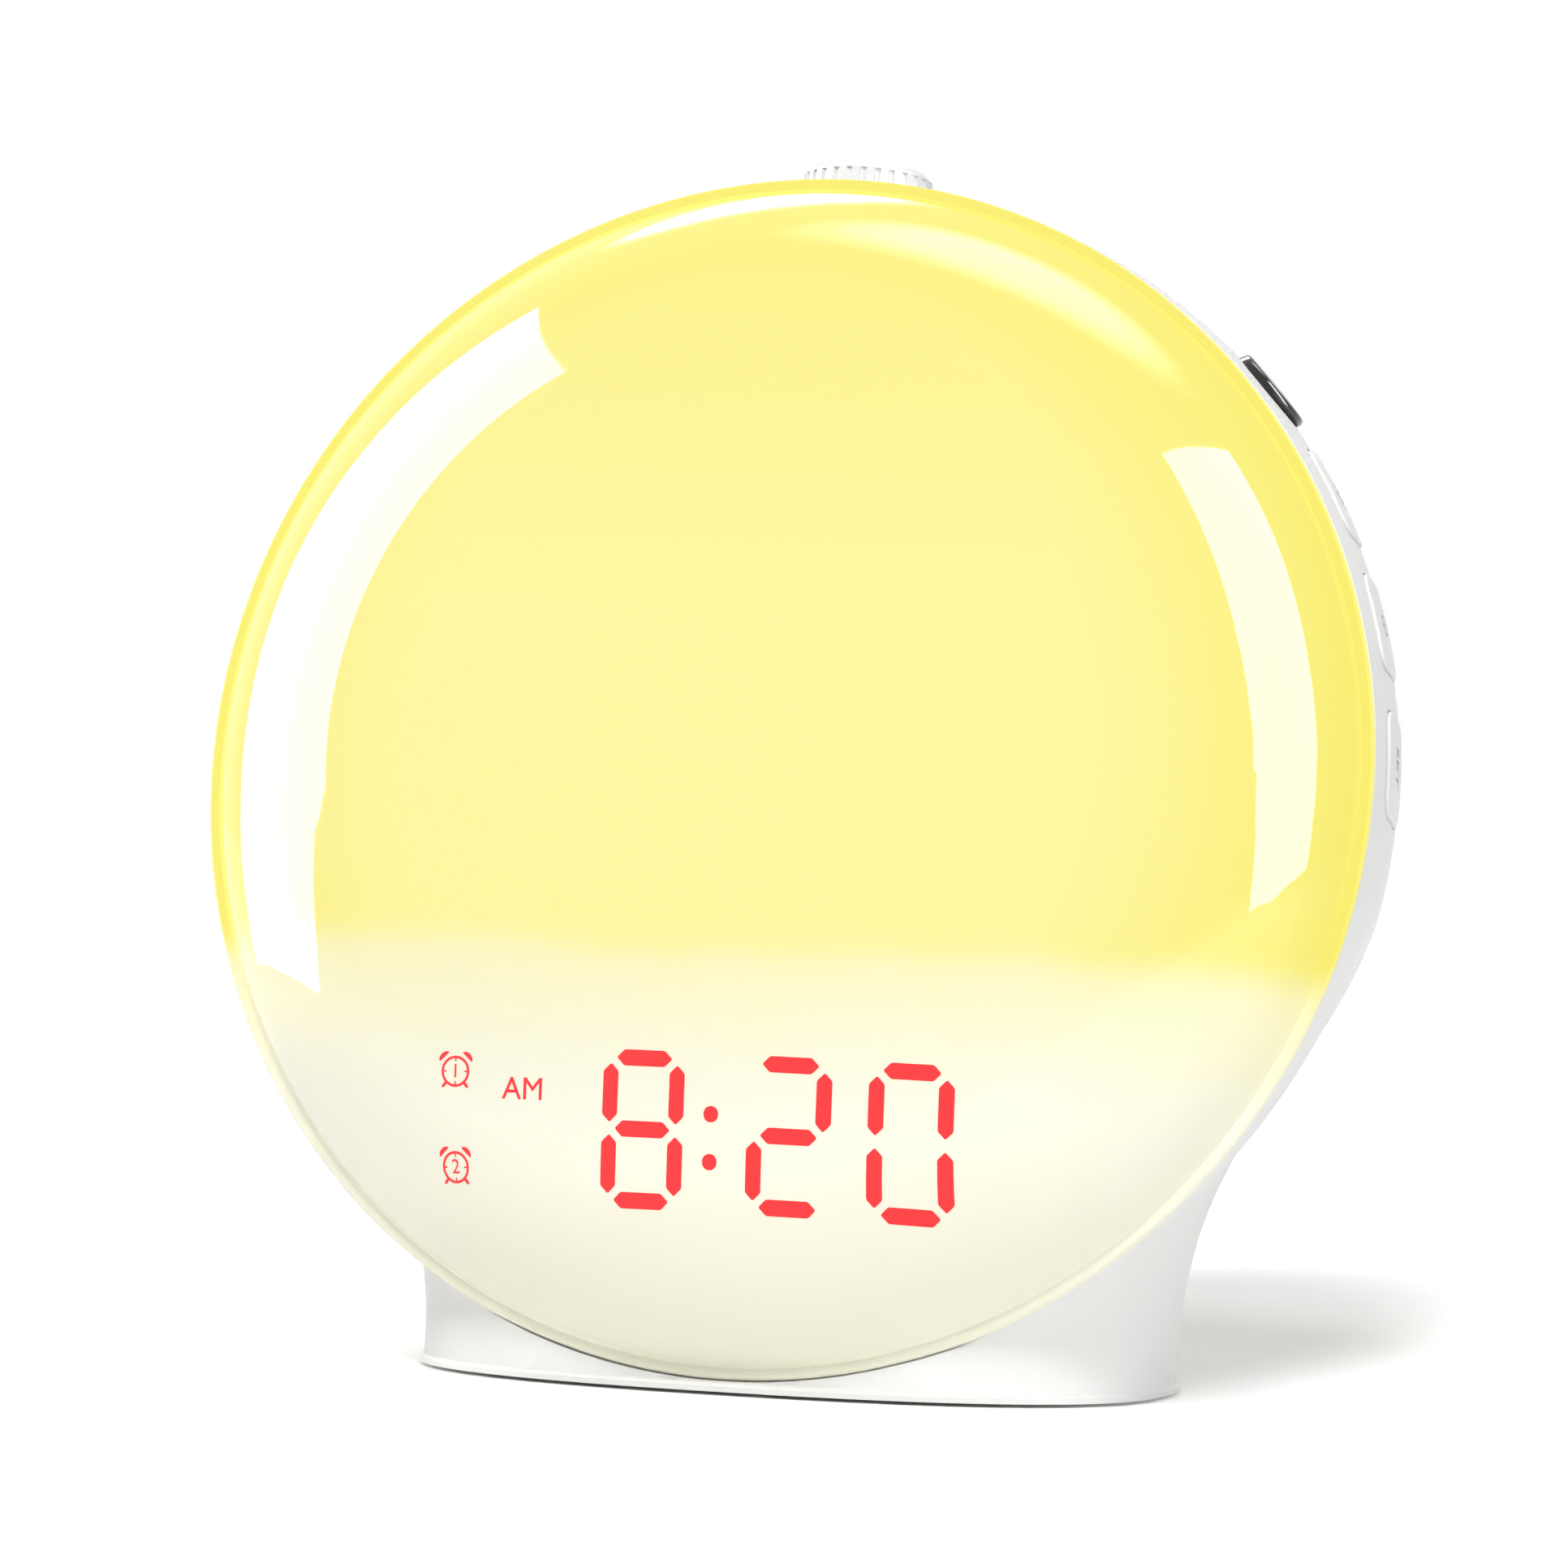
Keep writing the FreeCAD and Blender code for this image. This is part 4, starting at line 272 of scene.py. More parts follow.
def dome_material(colours, sizes, stage):
    """Milky diffuser: glows warm above the shelf inside it, plain milky plastic below."""
    # Polished mould: mirror-clear reflections on a cloudy body, and a duller edge where the rim was trimmed
    material, tree = new_material("Milky polypropylene, polished mould")
    point = add_node(tree, "ShaderNodeTexCoord").outputs["Object"]
    local = add_node(tree, "ShaderNodeVectorMath", (point, tuple(RIM_MIDDLE)), operation="SUBTRACT")
    height = add_node(tree, "ShaderNodeVectorMath", (local, tuple(UP_FRONT)), operation="DOT_PRODUCT")
    across = add_node(tree, "ShaderNodeSeparateXYZ", (local,))
    lengths = (height, across)
    squares = [add_node(tree, "ShaderNodeMath", (length, 2), operation="POWER") for length in lengths]
    squared = add_node(tree, "ShaderNodeMath", squares, operation="ADD")
    reach = add_node(tree, "ShaderNodeMath", (squared,), operation="SQRT")
    # Cloudiness 30 mm across, which also moves the glow's lower end up and down a little
    cloud = add_node(tree, "ShaderNodeTexNoise", {"Vector": point, "Scale": per_mm(30), "Detail": 2})
    wobble = soft_range(tree, cloud, 0.2, 0.8, -1.2 * MM, 1.2 * MM)
    level = add_node(tree, "ShaderNodeMath", (height, wobble), operation="ADD")
    # Full glow above the shelf, and light that spills below it
    shelf, blur = -sizes.glow_level, sizes.glow_blur
    full = soft_range(tree, level, shelf - blur, shelf + blur)
    spill = soft_range(tree, level, shelf - SPILL_DEPTH, shelf + 2 * MM)
    part = soft_range(tree, full, 0, 1, 0.65, 1)
    share = add_node(tree, "ShaderNodeMath", (spill, part), operation="MULTIPLY")
    # Deeper yellow toward the rim and the top
    edge = soft_range(tree, reach, 45 * MM, RIM_RADIUS)
    upper = soft_range(tree, height, 15 * MM, 75 * MM, 0, 0.55)
    toward_edge = add_node(tree, "ShaderNodeMath", (edge, upper), operation="MAXIMUM")
    direct = colour_mix(tree, toward_edge, rgba(colours.dome_middle), rgba(colours.dome_side))
    mottled = colour_mix(tree, cloud, rgba(colours.dome_low, 0.985), rgba(colours.dome_low))
    strength = add_node(tree, "ShaderNodeMath", (share, GLOW_STRENGTH * stage.glow), operation="MULTIPLY")
    surface = {
        "Base Color": colour_mix(tree, share, mottled, rgba(colours.dome_side, 0.12)),
        "Emission Color": colour_mix(tree, full, rgba(colours.dome_spill), direct),
        "Emission Strength": strength,
        "Roughness": soft_range(tree, reach, 79.6 * MM, 80.6 * MM, 0.035, 0.6),
        "Specular IOR Level": soft_range(tree, reach, 75 * MM, 80.5 * MM, 0.5, 0.12),
        "IOR": 1.46,
    }
    show_surface(tree, surface)
    return material


def lit_ink(name, colour, strength):
    """Light through a coloured window: bright and flat, a little uneven across it."""
    material, tree = new_material(name)
    point = add_node(tree, "ShaderNodeTexCoord").outputs["Object"]
    grain = add_node(tree, "ShaderNodeTexNoise", {"Vector": point, "Scale": per_mm(1.5), "Detail": 1})
    surface = {
        "Base Color": rgba(colour, 0.2),
        "Emission Color": colour_mix(tree, grain, rgba(colour, 0.94), rgba(colour)),
        "Emission Strength": strength,
        "Roughness": soft_range(tree, grain, 0.3, 0.7, 0.35, 0.45),
        "IOR": 1.49,
        "Specular IOR Level": 0.1,
    }
    show_surface(tree, surface)
    return material


def material_table(colours, sizes, stage):
    """Each CAD node with the material it shows."""
    # Spark-eroded mould: a dull, even white
    white = moulded_plastic("White ABS, spark-eroded mould", colours.housing, 0.5, shine=0.04)
    # Lightly ground mould: a little glossier than the housing
    base = moulded_plastic("White ABS, ground mould", colours.base, 0.45)
    # Satin mould with a fine grain: a soft sheen on the ribs
    dial = moulded_plastic("White ABS, satin mould", colours.dial, 0.38, 0.25, 0.004)
    # Grained mould: a flat black without reflections
    black = moulded_plastic("Black ABS, grained mould", srgb("17171a"), 0.5)
    # Polished mould: deep black with sharp reflections and hardly any waviness
    gloss = moulded_plastic("Black acrylic, polished mould", colours.power_key, 0.1, 4.0, 0.0005, 0.5)
    # Polished mould: a clean white that throws the light forward
    bowl = moulded_plastic("White polystyrene, polished mould", srgb("f4f4f0"), 0.3)
    # Pressed in a coarse mould: a dry, dark grey that shows no gloss
    rubber = moulded_plastic("Dark silicone rubber, pressed", srgb("34343a"), 0.8, 0.6, 0.02)
    # Barrel-plated: bluish grey with small dull marks
    zinc = plated_metal("Zinc-plated steel, tumbled", srgb("b9bbbe"), 0.35)
    # Bright-plated: lighter and sharper than zinc
    nickel = plated_metal("Nickel-plated steel, bright", srgb("cfd0d2"), 0.25)
    # Sprayed and baked: black with a slight orange peel
    painted = moulded_plastic("Black enamel, sprayed and baked", srgb("202022"), 0.4, 0.5)
    # Felted from pulp: a rough, fibrous black
    paper = moulded_plastic("Speaker paper, felted and coated", srgb("1e1c1b"), 0.85, 0.3, 0.03)
    # Pressed and fired: a dense, stony grey with a fine grain
    ferrite = moulded_plastic("Ferrite, sintered", srgb("29282a"), 0.6, 0.4, 0.02)
    # Printed over etched copper: green with raised, lighter traces
    green = circuit_board("Green solder mask, printed", srgb("1c6b3c"), srgb("2f8a50"))
    # Printed thick over aluminium: white with faint traces
    pale = circuit_board("White solder mask, printed", srgb("ecece6"), srgb("dcdcd2"))
    # Moulded undyed: a warm, waxy off-white
    nylon = moulded_plastic("Natural nylon, moulded", srgb("e9e4d2"), 0.5)
    # Extruded side by side: grey and softly uneven at the ribbon's 1.27 mm wire spacing
    ribbon = moulded_plastic("Grey PVC ribbon, extruded", srgb("a7a8ab"), 0.45, 1.27, 0.05)
    # Extruded over the wire: an even red with a soft shine
    lead = moulded_plastic("Red PVC, extruded", srgb("a31d1d"), 0.45)
    # Cast over the chip: a pale, warm glow
    phosphor = lit_ink("Yellow phosphor, cast over the chip", srgb("fff0b0"), 1.0)
    # Moulded clear and lit from behind: an even red
    pipe = lit_ink("Clear acrylic light pipe, lit red", colours.digits, 0.9)
    table = {"diffuser_dome": dome_material(colours, sizes, stage)}
    groups = (
        (white, "housing_shell rear_cover lower_button middle_button upper_button"),
        (base, "base_plate battery_door"),
        (dial, "dial_knob"),
        (gloss, "power_button"),
        (bowl, "light_reflector"),
        (rubber, "rubber_feet"),
        (nickel, "coin_cell cell_contact tact_switches"),
        (painted, "speaker_frame"),
        (paper, "speaker_cone"),
        (ferrite, "speaker_magnet"),
        (pale, "light_board"),
        (nylon, "board_plugs display_board_plug"),
        (ribbon, "display_ribbon"),
        (lead, "light_leads speaker_leads"),
        (phosphor, "light_leds"),
        (pipe, "digit_segments"),
        (green, "display_board encoder_board button_board main_board"),
        (black, "display_carrier display_module encoder_body battery_holder dc_socket board_parts"),
        (black, "lower_plunger middle_plunger upper_plunger power_plunger"),
    )
    for material, names in groups:
        table.update({name: material for name in names.split()})
    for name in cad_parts:
        if name.endswith("_screws") or name == "encoder_shaft":
            table[name] = zinc
    return table


# Modelling helpers


def start_alone():
    """Leave edit mode and select nothing, so that an operator acts on the new piece alone."""
    if bpy.context.object and bpy.context.object.mode != "OBJECT":
        bpy.ops.object.mode_set(mode="OBJECT")
    bpy.ops.object.select_all(action="DESELECT")


def make_active(piece):
    start_alone()
    piece.select_set(True)
    bpy.context.view_layer.objects.active = piece


def select_vertices(piece, test):
    """In edit mode, select the vertices that pass the test."""
    bpy.ops.mesh.select_all(action="DESELECT")
    bpy.ops.object.mode_set(mode="OBJECT")
    for vertex in piece.data.vertices:
        vertex.select = test(vertex.co)
    bpy.ops.object.mode_set(mode="EDIT")
    bpy.ops.mesh.select_mode(type="VERT")


def pointed_bar(length, width):
    """One display bar, flat, along x, with pointed ends."""
    start_alone()
    bpy.ops.mesh.primitive_plane_add(size=1)
    piece = bpy.context.object
    bpy.ops.object.mode_set(mode="EDIT")
    bpy.ops.mesh.select_all(action="SELECT")
    bpy.ops.transform.resize(value=(length - width, width, 1))
    inner = (length - width) / 2
    for sign in (-1, 1):
        select_vertices(piece, lambda co: abs(co.x - sign * inner) < 1e-6)
        bpy.ops.mesh.extrude_region_move(TRANSFORM_OT_translate={"value": (sign * width / 2, 0, 0)})
        bpy.ops.mesh.merge(type="CENTER")
    bpy.ops.mesh.select_all(action="SELECT")
    bpy.ops.mesh.bevel(offset=width * 0.1, segments=2, affect="VERTICES")
    bpy.ops.mesh.select_all(action="SELECT")
    bpy.ops.mesh.quads_convert_to_tris()
    bpy.ops.mesh.subdivide(number_cuts=3)
    bpy.ops.object.mode_set(mode="OBJECT")
    return piece


def copied(piece, x, y, turn=0.0):
    """Copy with its own mesh, turned and moved in the plane it is drawn in."""
    make_active(piece)
    bpy.ops.object.duplicate(linked=False)
    copy = bpy.context.object
    copy.rotation_euler.z = turn
    copy.location = (x, y, 0)
    bpy.ops.object.transform_apply(location=True, rotation=True, scale=True)
    return copy


def drop(piece):
    bpy.data.objects.remove(piece, do_unlink=True)


def merged(name, pieces):
    make_active(pieces[0])
    for piece in pieces:
        piece.select_set(True)
    if len(pieces) > 1:
        bpy.ops.object.join()
    bpy.context.object.name = name
    return bpy.context.object


def laid_on(piece, place, target, lift, thickness, body, material):
    """Lay a flat drawing on a CAD node along the place's z, and let it ride on a body."""
    make_active(piece)
    piece.matrix_world = place
    wrap = piece.modifiers.new("Lay on surface", "SHRINKWRAP")
    wrap.wrap_method = "PROJECT"
    wrap.use_project_z = True
    wrap.use_negative_direction = True
    wrap.use_positive_direction = False
    wrap.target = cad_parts[target]
    wrap.offset = lift
    bpy.ops.object.modifier_apply(modifier=wrap.name)
    thick = piece.modifiers.new("Thickness", "SOLIDIFY")
    thick.thickness = thickness
    thick.offset = -1
    bpy.ops.object.modifier_apply(modifier=thick.name)
    bpy.ops.object.transform_apply(location=True, rotation=True, scale=True)
    piece.data.materials.clear()
    piece.data.materials.append(material)
    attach(piece, body)


def lay_on_dome(piece, sizes, material):
    """Lay a lit mark on the dome, from in front of its bulge."""
    place = FRONT @ Matrix.Translation((0, 0, 40 * MM))
    laid_on(
        piece, place, "diffuser_dome", sizes.ink_lift, 0.03 * MM, "clock_body", material
    )


def flat_text(words, size, x=0.0, y=0.0, turn=0.0):
    start_alone()
    bpy.ops.object.text_add(location=(0, 0, 0))
    text = bpy.context.object
    text.data.body = words
    text.data.align_x = "CENTER"
    text.data.align_y = "CENTER"
    text.data.size = size
    bpy.ops.object.convert(target="MESH")
    piece = bpy.context.object
    bpy.ops.object.mode_set(mode="EDIT")
    bpy.ops.mesh.select_all(action="SELECT")
    bpy.ops.mesh.remove_doubles(threshold=size * 0.002)
    bpy.ops.mesh.quads_convert_to_tris()
    bpy.ops.object.mode_set(mode="OBJECT")
    piece.rotation_euler.z = turn
    piece.location = (x, y, 0)
    bpy.ops.object.transform_apply(location=True, rotation=True, scale=True)
    return piece


def flat_ring(radius, line, x=0.0, y=0.0):
    start_alone()
    bpy.ops.mesh.primitive_circle_add(vertices=48, radius=radius, fill_type="NGON")
    piece = bpy.context.object
    bpy.ops.object.mode_set(mode="EDIT")
    bpy.ops.mesh.select_all(action="SELECT")
    bpy.ops.mesh.inset(thickness=line)
    bpy.ops.mesh.delete(type="FACE")
    bpy.ops.object.mode_set(mode="OBJECT")
    piece.location = (x, y, 0)
    bpy.ops.object.transform_apply(location=True, rotation=True, scale=True)
    return piece


def flat_stroke(length, width, x, y, turn):
    """Short line with rounded ends."""
    start_alone()
    bpy.ops.mesh.primitive_plane_add(size=1)
    piece = bpy.context.object
    bpy.ops.object.mode_set(mode="EDIT")
    bpy.ops.mesh.select_all(action="SELECT")
    bpy.ops.transform.resize(value=(length, width, 1))
    bpy.ops.mesh.bevel(offset=width * 0.45, segments=4, affect="VERTICES")
    bpy.ops.object.mode_set(mode="OBJECT")
    piece.rotation_euler.z = turn
    piece.location = (x, y, 0)
    bpy.ops.object.transform_apply(location=True, rotation=True, scale=True)
    return piece


def bell(radius, x, y, turn):
    """Bell of an alarm mark: half a disc, flattened."""
    start_alone()
    bpy.ops.mesh.primitive_circle_add(vertices=24, radius=radius, fill_type="NGON")
    piece = bpy.context.object
    bpy.ops.object.mode_set(mode="EDIT")
    bpy.ops.mesh.select_all(action="SELECT")
    bpy.ops.mesh.bisect(plane_co=(0, 0, 0), plane_no=(0, 1, 0), clear_inner=True)
    bpy.ops.mesh.select_all(action="SELECT")
    bpy.ops.transform.resize(value=(1, 0.65, 1))
    bpy.ops.object.mode_set(mode="OBJECT")
    piece.rotation_euler.z = turn
    piece.location = (x, y, 0)
    bpy.ops.object.transform_apply(location=True, rotation=True, scale=True)
    return piece


def around(x, y, distance, degrees):
    angle = math.radians(degrees)
    return x + distance * math.cos(angle), y + distance * math.sin(angle)


def alarm_mark(number, x, y):
    """Small alarm clock with its number: ring with ticks, two bells, two feet."""
    pieces = [flat_ring(2.05 * MM, 0.32 * MM, x, y)]
    for degrees in (0, 90, 180, 270):
        tick = around(x, y, 1.55 * MM, degrees)
        pieces.append(flat_stroke(0.5 * MM, 0.18 * MM, *tick, math.radians(degrees)))
    for degrees in (48, 132):
        pieces.append(bell(0.9 * MM, *around(x, y, 2.35 * MM, degrees), math.radians(degrees - 90)))
        foot = around(x, y, 2.4 * MM, -degrees)
        pieces.append(flat_stroke(0.85 * MM, 0.4 * MM, *foot, -math.radians(degrees)))
    pieces.append(flat_text(number, 2.6 * MM, x, y))
    return merged("alarm_mark_" + number, pieces)


# Operators


class ClockOperator(bpy.types.Operator):
    bl_options = {"REGISTER", "UNDO"}


class CLOCK_OT_materials(ClockOperator):
    """Give every sub-part its material"""

    bl_idname = "clock.materials"
    bl_label = "Materials"

    def execute(self, context):
        table = material_table(*settings())
        missing = sorted(set(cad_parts) - set(table))
        if missing:
            raise RuntimeError("No material for %s" % missing)
        for name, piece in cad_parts.items():
            piece.data.materials.clear()
            piece.data.materials.append(table[name])
        return {"FINISHED"}


class CLOCK_OT_digits(ClockOperator):
    """Lay the lit digits and the colon on the dome"""

    bl_idname = "clock.digits"
    bl_label = "Digits"

    def execute(self, context):
        colours, sizes, _ = settings()
        red = lit_ink("Red light through milky plastic", colours.digits, 1.0)
        across, tall = sizes.digit_width, sizes.digit_height
        flat_bar = pointed_bar(across - sizes.bar_joint, sizes.bar_width)
        long_bar = pointed_bar(tall / 2 - sizes.bar_joint, sizes.bar_width)
        # Steps of half a width across and a quarter of the height up, from the digit's middle
        spots = {"a": (0, 2), "g": (0, 0), "d": (0, -2)}
        spots.update({"b": (1, 1), "c": (1, -1), "e": (-1, -1), "f": (-1, 1)})
        for index, (x, lit) in enumerate(DIGITS, start=1):
            bars = []
            for letter in lit:
                side, step = spots[letter]
                source, turn = (long_bar, math.radians(90)) if side else (flat_bar, 0.0)
                level = step * tall / 4 - sizes.digit_level
                bars.append(copied(source, x * MM + side * across / 2, level, turn))
            lay_on_dome(merged("digit_%d" % index, bars), sizes, red)
        wide, high = (size * MM for size in COLON_SIZE)
        colon = [flat_stroke(wide, high, COLON_PLACE * MM, -level * MM, 0.0) for level in COLON_LEVELS]
        lay_on_dome(merged("colon", colon), sizes, red)
        drop(flat_bar)
        drop(long_bar)
        return {"FINISHED"}


class CLOCK_OT_marks(ClockOperator):
    """Lay the lit alarm marks and the half-day mark on the dome"""

    bl_idname = "clock.marks"
    bl_label = "Display marks"

    def execute(self, context):
        colours, sizes, _ = settings()
        red = lit_ink("Red light through a printed window", colours.digits, 0.95)
        marks = [
            alarm_mark("1", -35.3 * MM, -44.8 * MM),
            alarm_mark("2", -35.3 * MM, -57.2 * MM),
            merged("half_day_mark", [flat_text("AM", 4.2 * MM, -25.3 * MM, -46.9 * MM)]),
        ]
        for mark in marks:
            lay_on_dome(mark, sizes, red)
        return {"FINISHED"}


class CLOCK_OT_key_prints(ClockOperator):
    """Print the small marks on the side keys"""

    bl_idname = "clock.key_prints"
    bl_label = "Key prints"

    def execute(self, context):
        colours, _, _ = settings()
        # Thin ink off a soft pad: a flat grey, as dull as the key below it
        ink = moulded_plastic("Grey ink, pad-printed", colours.print_ink, 0.5)
        for name, x in KEY_PLACES.items():
            if name == "lower":
                pieces = [flat_text("SET", 3.4 * MM, 0, 0, math.radians(180))]
            elif name == "middle":
                upright = flat_stroke(1.6 * MM, 0.3 * MM, 0, 0.6 * MM, math.radians(90))
                pieces = [flat_ring(1.5 * MM, 0.3 * MM), upright]
            else:
                pieces = [flat_ring(1.1 * MM, 0.28 * MM)]
                for step in range(8):
                    ray = around(0, 0, 1.9 * MM, 45 * step)
                    pieces.append(flat_stroke(0.7 * MM, 0.26 * MM, *ray, math.radians(45 * step)))
            print_mark = merged(name + "_key_print", pieces)
            place = SIDE @ Matrix.Translation((x, 0, 100 * MM))
            laid_on(
                print_mark, place, name + "_button", 0.02 * MM, 0.01 * MM, name + "_key", ink
            )
        return {"FINISHED"}


def camera_matrix(lens):
    """Place and turn of the camera."""
    azimuth, elevation, roll = map(math.radians, (CAMERA_AZIMUTH, CAMERA_ELEVATION, CAMERA_ROLL))
    out = Vector(
        (
            math.sin(azimuth) * math.cos(elevation),
            -math.cos(azimuth) * math.cos(elevation),
            math.sin(elevation),
        )
    )
    ahead, right = -out, Vector((math.cos(azimuth), math.sin(azimuth), 0))
    up = right.cross(ahead)
    # Turned and pitched away from the rim's middle, then rolled
    focal = PHOTO_WIDTH * lens / SENSOR_WIDTH
    yaw = math.atan2(RIM_SHIFT[0], focal)
    pitch = math.atan2(RIM_SHIFT[1], math.hypot(focal, RIM_SHIFT[0]))
    turned = ahead * math.cos(yaw) - right * math.sin(yaw)
    right = right * math.cos(yaw) + ahead * math.sin(yaw)
    ahead = turned * math.cos(pitch) + up * math.sin(pitch)
    up = up * math.cos(pitch) - turned * math.sin(pitch)
    rolled = right * math.cos(roll) + up * math.sin(roll)
    up = -right * math.sin(roll) + up * math.cos(roll)
    turn = Matrix((rolled, up, -ahead)).transposed().to_4x4()
    return Matrix.Translation(RIM_MIDDLE + out * CAMERA_DISTANCE) @ turn


def background_seen(tree):
    """1 for rays that see the background straight on, in a reflection or through glass."""
    ray = add_node(tree, "ShaderNodeLightPath").outputs
    seen = add_node(tree, "ShaderNodeMath", (ray["Is Camera Ray"], ray["Is Glossy Ray"]), operation="MAXIMUM")
    return add_node(tree, "ShaderNodeMath", (seen, ray["Is Transmission Ray"]), operation="MAXIMUM")


def oval_distance(tree, middle, reach):
    """Distance from the middle of an oval, 1 on its edge."""
    point = add_node(tree, "ShaderNodeTexCoord").outputs["Object"]
    offset = add_node(tree, "ShaderNodeVectorMath", (point, middle), operation="SUBTRACT")
    scaled = add_node(tree, "ShaderNodeVectorMath", (offset, reach), operation="DIVIDE")
    return add_node(tree, "ShaderNodeVectorMath", (scaled,), operation="LENGTH")


def emitter_material(name, strength, colour, middle=None, reach=None):
    """Panel light that shows only in reflections; with a reach it fades out from its middle."""
    material, tree = new_material(name)
    result = add_node(tree, "ShaderNodeEmission", {"Color": rgba(colour), "Strength": strength})
    if reach:
        fade = soft_range(tree, oval_distance(tree, middle, reach), 0.35, 1, 1, 0)
        clear = add_node(tree, "ShaderNodeBsdfTransparent")
        result = add_node(tree, "ShaderNodeMixShader", (fade, clear, result))
    add_node(tree, "ShaderNodeOutputMaterial", {"Surface": result})
    return material


def panel(name, corners, material):
    """Flat panel through the corners, seen only in reflections."""
    start_alone()
    bpy.ops.mesh.primitive_circle_add(vertices=len(corners), radius=1, fill_type="NGON")
    piece = bpy.context.object
    piece.name = name
    for vertex, corner in zip(piece.data.vertices, corners):
        vertex.co = corner
    piece.data.materials.append(material)
    piece.visible_camera = False
    piece.visible_diffuse = False
    piece.visible_shadow = False
    piece.visible_transmission = False
    return piece


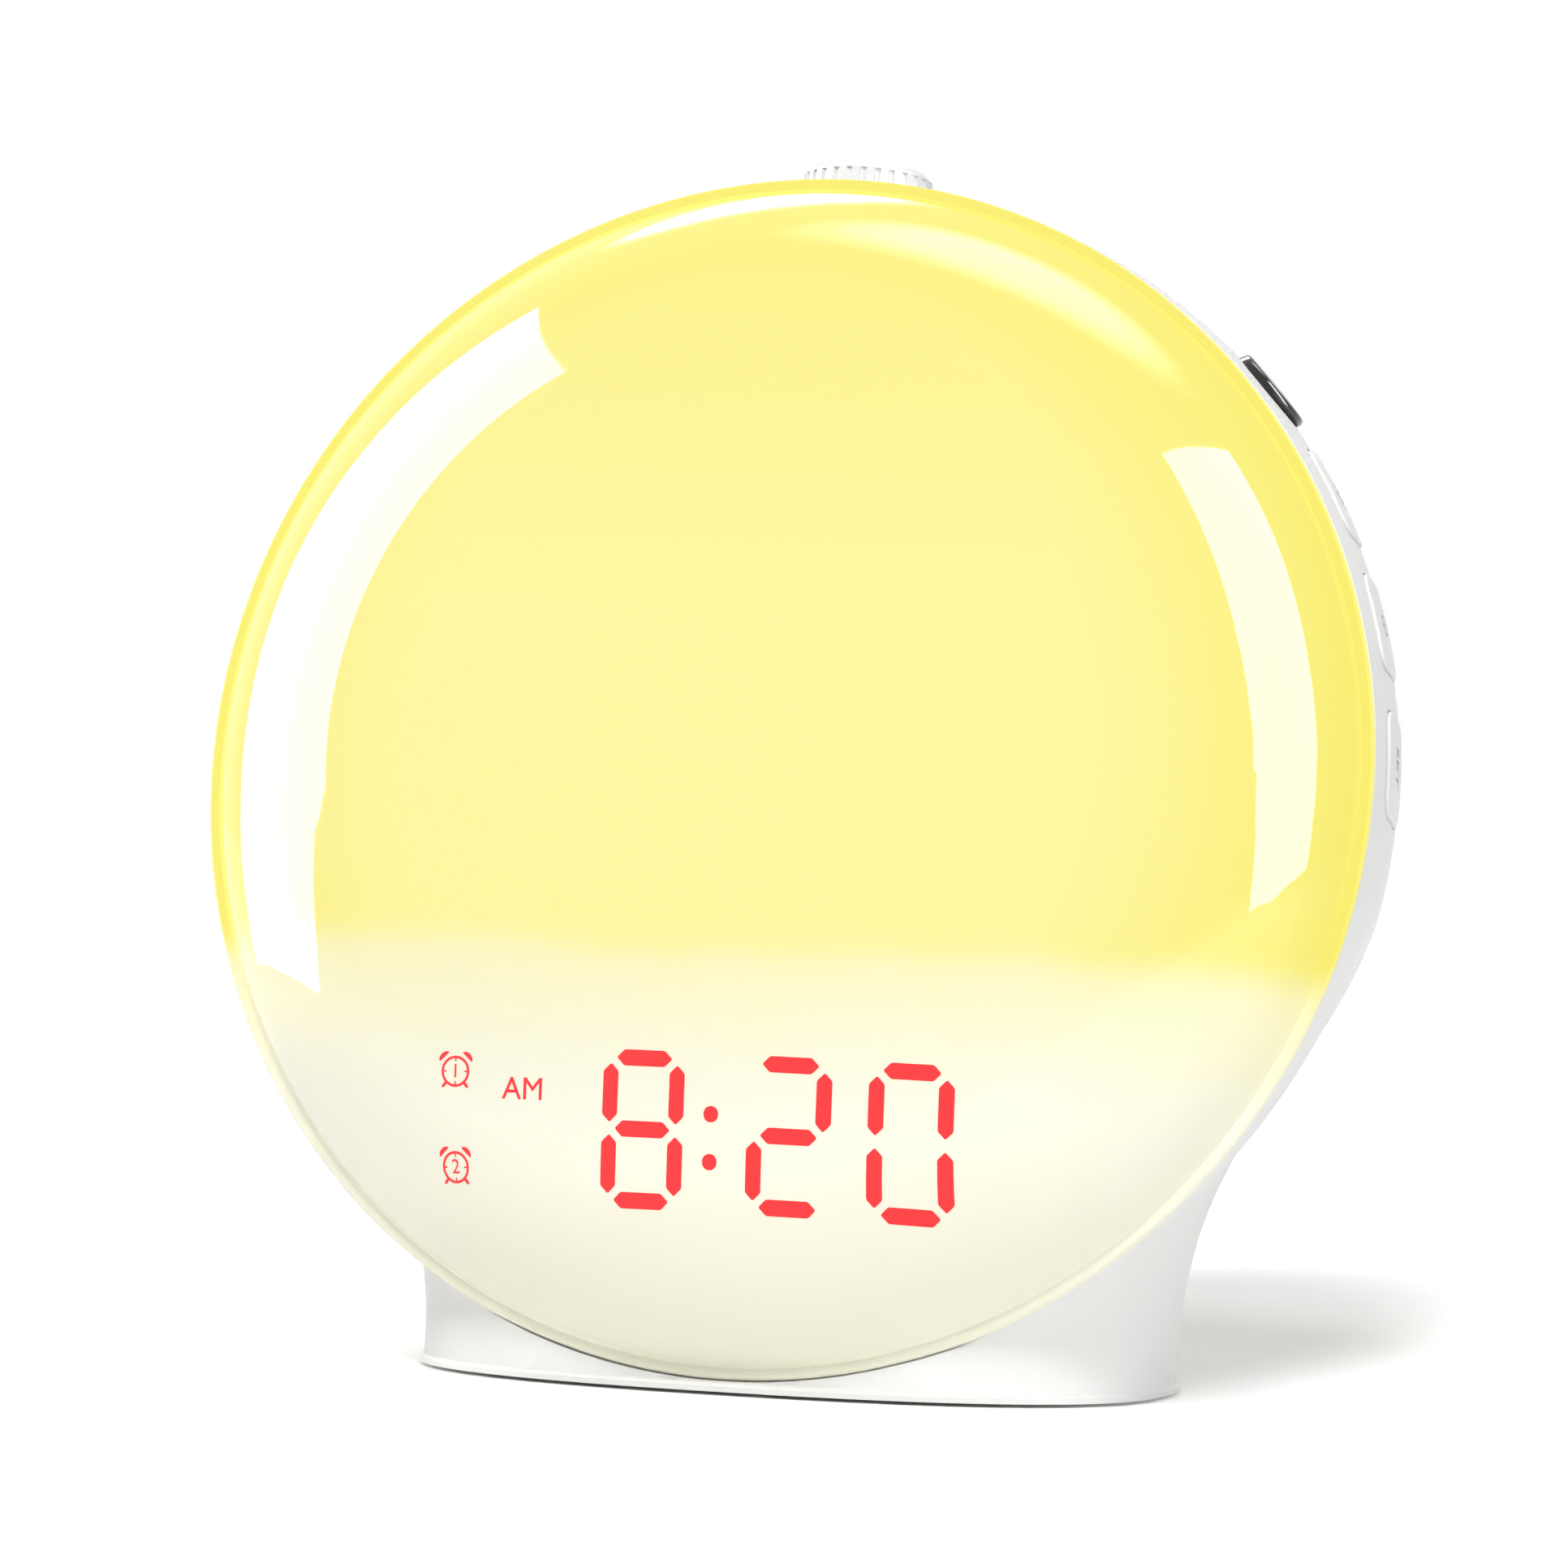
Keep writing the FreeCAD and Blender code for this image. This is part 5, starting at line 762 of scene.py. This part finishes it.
class CLOCK_OT_stage(ClockOperator):
    """Set up the floor, the light and the camera"""

    bl_idname = "clock.stage"
    bl_label = "Stage"

    def execute(self, context):
        _, _, stage = settings()
        scene = context.scene
        made = [self.floor(), *self.panels(stage), *self.lamps(stage)]
        camera = bpy.data.objects.new("camera", bpy.data.cameras.new("camera"))
        scene.collection.objects.link(camera)
        camera.data.lens = stage.lens
        camera.data.sensor_width = SENSOR_WIDTH
        camera.data.clip_start = 0.05
        camera.data.clip_end = 50
        camera.matrix_world = camera_matrix(stage.lens)
        scene.camera = camera
        self.world(scene, stage)
        scene.view_settings.view_transform = "Standard"
        return {"FINISHED"}

    def floor(self):
        start_alone()
        bpy.ops.mesh.primitive_plane_add(size=6)
        piece = bpy.context.object
        piece.name = "floor"
        bpy.ops.object.mode_set(mode="EDIT")
        bpy.ops.mesh.select_all(action="SELECT")
        bpy.ops.mesh.subdivide(number_cuts=3)
        bpy.ops.object.mode_set(mode="OBJECT")
        # Rolled paper: a dull white with a faint cloudiness
        material, tree = new_material("White paper, rolled")
        point = add_node(tree, "ShaderNodeTexCoord").outputs["Object"]
        grain = add_node(tree, "ShaderNodeTexNoise", {"Vector": point, "Scale": per_mm(2), "Detail": 2})
        # Painted white to the camera, weak inside an oval round the shadow and full outside it, hides the
        # shadow there, so that the shadow fades out toward the oval's edge
        lift = soft_range(tree, oval_distance(tree, SHADOW_MIDDLE, SHADOW_REACH), 0.45, 1, 0.02, 1)
        seen = add_node(tree, "ShaderNodeMath", (background_seen(tree), lift), operation="MULTIPLY")
        surface = {
            "Base Color": colour_mix(tree, grain, rgba(srgb("ededed")), rgba(srgb("f1f1f1"))),
            "Roughness": 0.9,
            "Emission Color": rgba((1, 1, 1)),
            "Emission Strength": seen,
        }
        show_surface(tree, surface)
        piece.data.materials.append(material)
        return piece

    def panels(self, stage):
        # Stretched cloth: an even, slightly warm white
        bright = emitter_material("Softbox cloth", stage.reflections, srgb("fffcf0"))
        made = []
        for name, x, outline in (
            ("left_panel", LEFT_PANEL_X, LEFT_PANEL),
            ("right_panel", RIGHT_PANEL_X, RIGHT_PANEL),
        ):
            made.append(panel(name, [(x, y, z) for y, z in outline], bright))
        for name, middle, reach, share in SOFT_PANELS:
            corners = [
                (middle[0] + a * reach[0], middle[1] + b * reach[1], SOFT_LEVEL)
                for a, b in ((1, 1), (-1, 1), (-1, -1), (1, -1))
            ]
            strength, place = stage.reflections * share, (*middle, SOFT_LEVEL)
            cloth = emitter_material(name + " cloth", strength, srgb("ffffff"), place, (*reach, 1.0))
            made.append(panel(name, corners, cloth))
        return made

    def lamps(self, stage):
        made = []
        for name, place, share, width in LAMPS:
            start_alone()
            bpy.ops.object.light_add(type="AREA", location=place)
            lamp = bpy.context.object
            lamp.name = name
            lamp.data.energy = stage.key_power * share
            lamp.data.size = width
            lamp.rotation_mode = "QUATERNION"
            lamp.rotation_quaternion = (LAMP_TARGET - Vector(place)).to_track_quat("-Z", "Y")
            lamp.visible_glossy = False
            made.append(lamp)
        return made

    def world(self, scene, stage):
        """White to the camera and in reflections, even light for surfaces."""
        world = bpy.data.worlds.new("Even studio")
        scene.world = world
        world.use_nodes = True
        tree = world.node_tree
        tree.nodes.clear()
        levels = {"Factor": background_seen(tree), "A": stage.fill, "B": 1.0}
        strength = add_node(tree, "ShaderNodeMix", levels)
        back = add_node(tree, "ShaderNodeBackground", {"Color": (1, 1, 1, 1), "Strength": strength})
        add_node(tree, "ShaderNodeOutputWorld", {"Surface": back})


class CLOCK_PT_panel(bpy.types.Panel):
    """Settings and steps of the clock's looks"""

    bl_label = "Sunrise Alarm Clock"
    bl_idname = "CLOCK_PT_panel"
    bl_space_type = "VIEW_3D"
    bl_region_type = "UI"
    bl_category = "Clock"

    def draw(self, context):
        layout = self.layout
        for group in settings():
            box = layout.box()
            for key in group.bl_rna.properties.keys():
                if key not in {"rna_type", "name"}:
                    box.prop(group, key)
        for operator in OPERATORS:
            layout.operator(operator.bl_idname)


OPERATORS = (CLOCK_OT_materials, CLOCK_OT_digits, CLOCK_OT_marks, CLOCK_OT_key_prints, CLOCK_OT_stage)
CLASSES = (ClockColours, ClockSizes, ClockStage, *OPERATORS, CLOCK_PT_panel)


def register():
    for cls in CLASSES:
        bpy.utils.register_class(cls)
    bpy.types.Scene.clock_colours = bpy.props.PointerProperty(type=ClockColours)
    bpy.types.Scene.clock_sizes = bpy.props.PointerProperty(type=ClockSizes)
    bpy.types.Scene.clock_stage = bpy.props.PointerProperty(type=ClockStage)


def unregister():
    del bpy.types.Scene.clock_stage
    del bpy.types.Scene.clock_sizes
    del bpy.types.Scene.clock_colours
    for cls in reversed(CLASSES):
        bpy.utils.unregister_class(cls)


def main():
    register()
    bpy.ops.clock.materials()
    bpy.ops.clock.digits()
    bpy.ops.clock.marks()
    bpy.ops.clock.key_prints()
    bpy.ops.clock.stage()


if __name__ == "__main__":
    main()
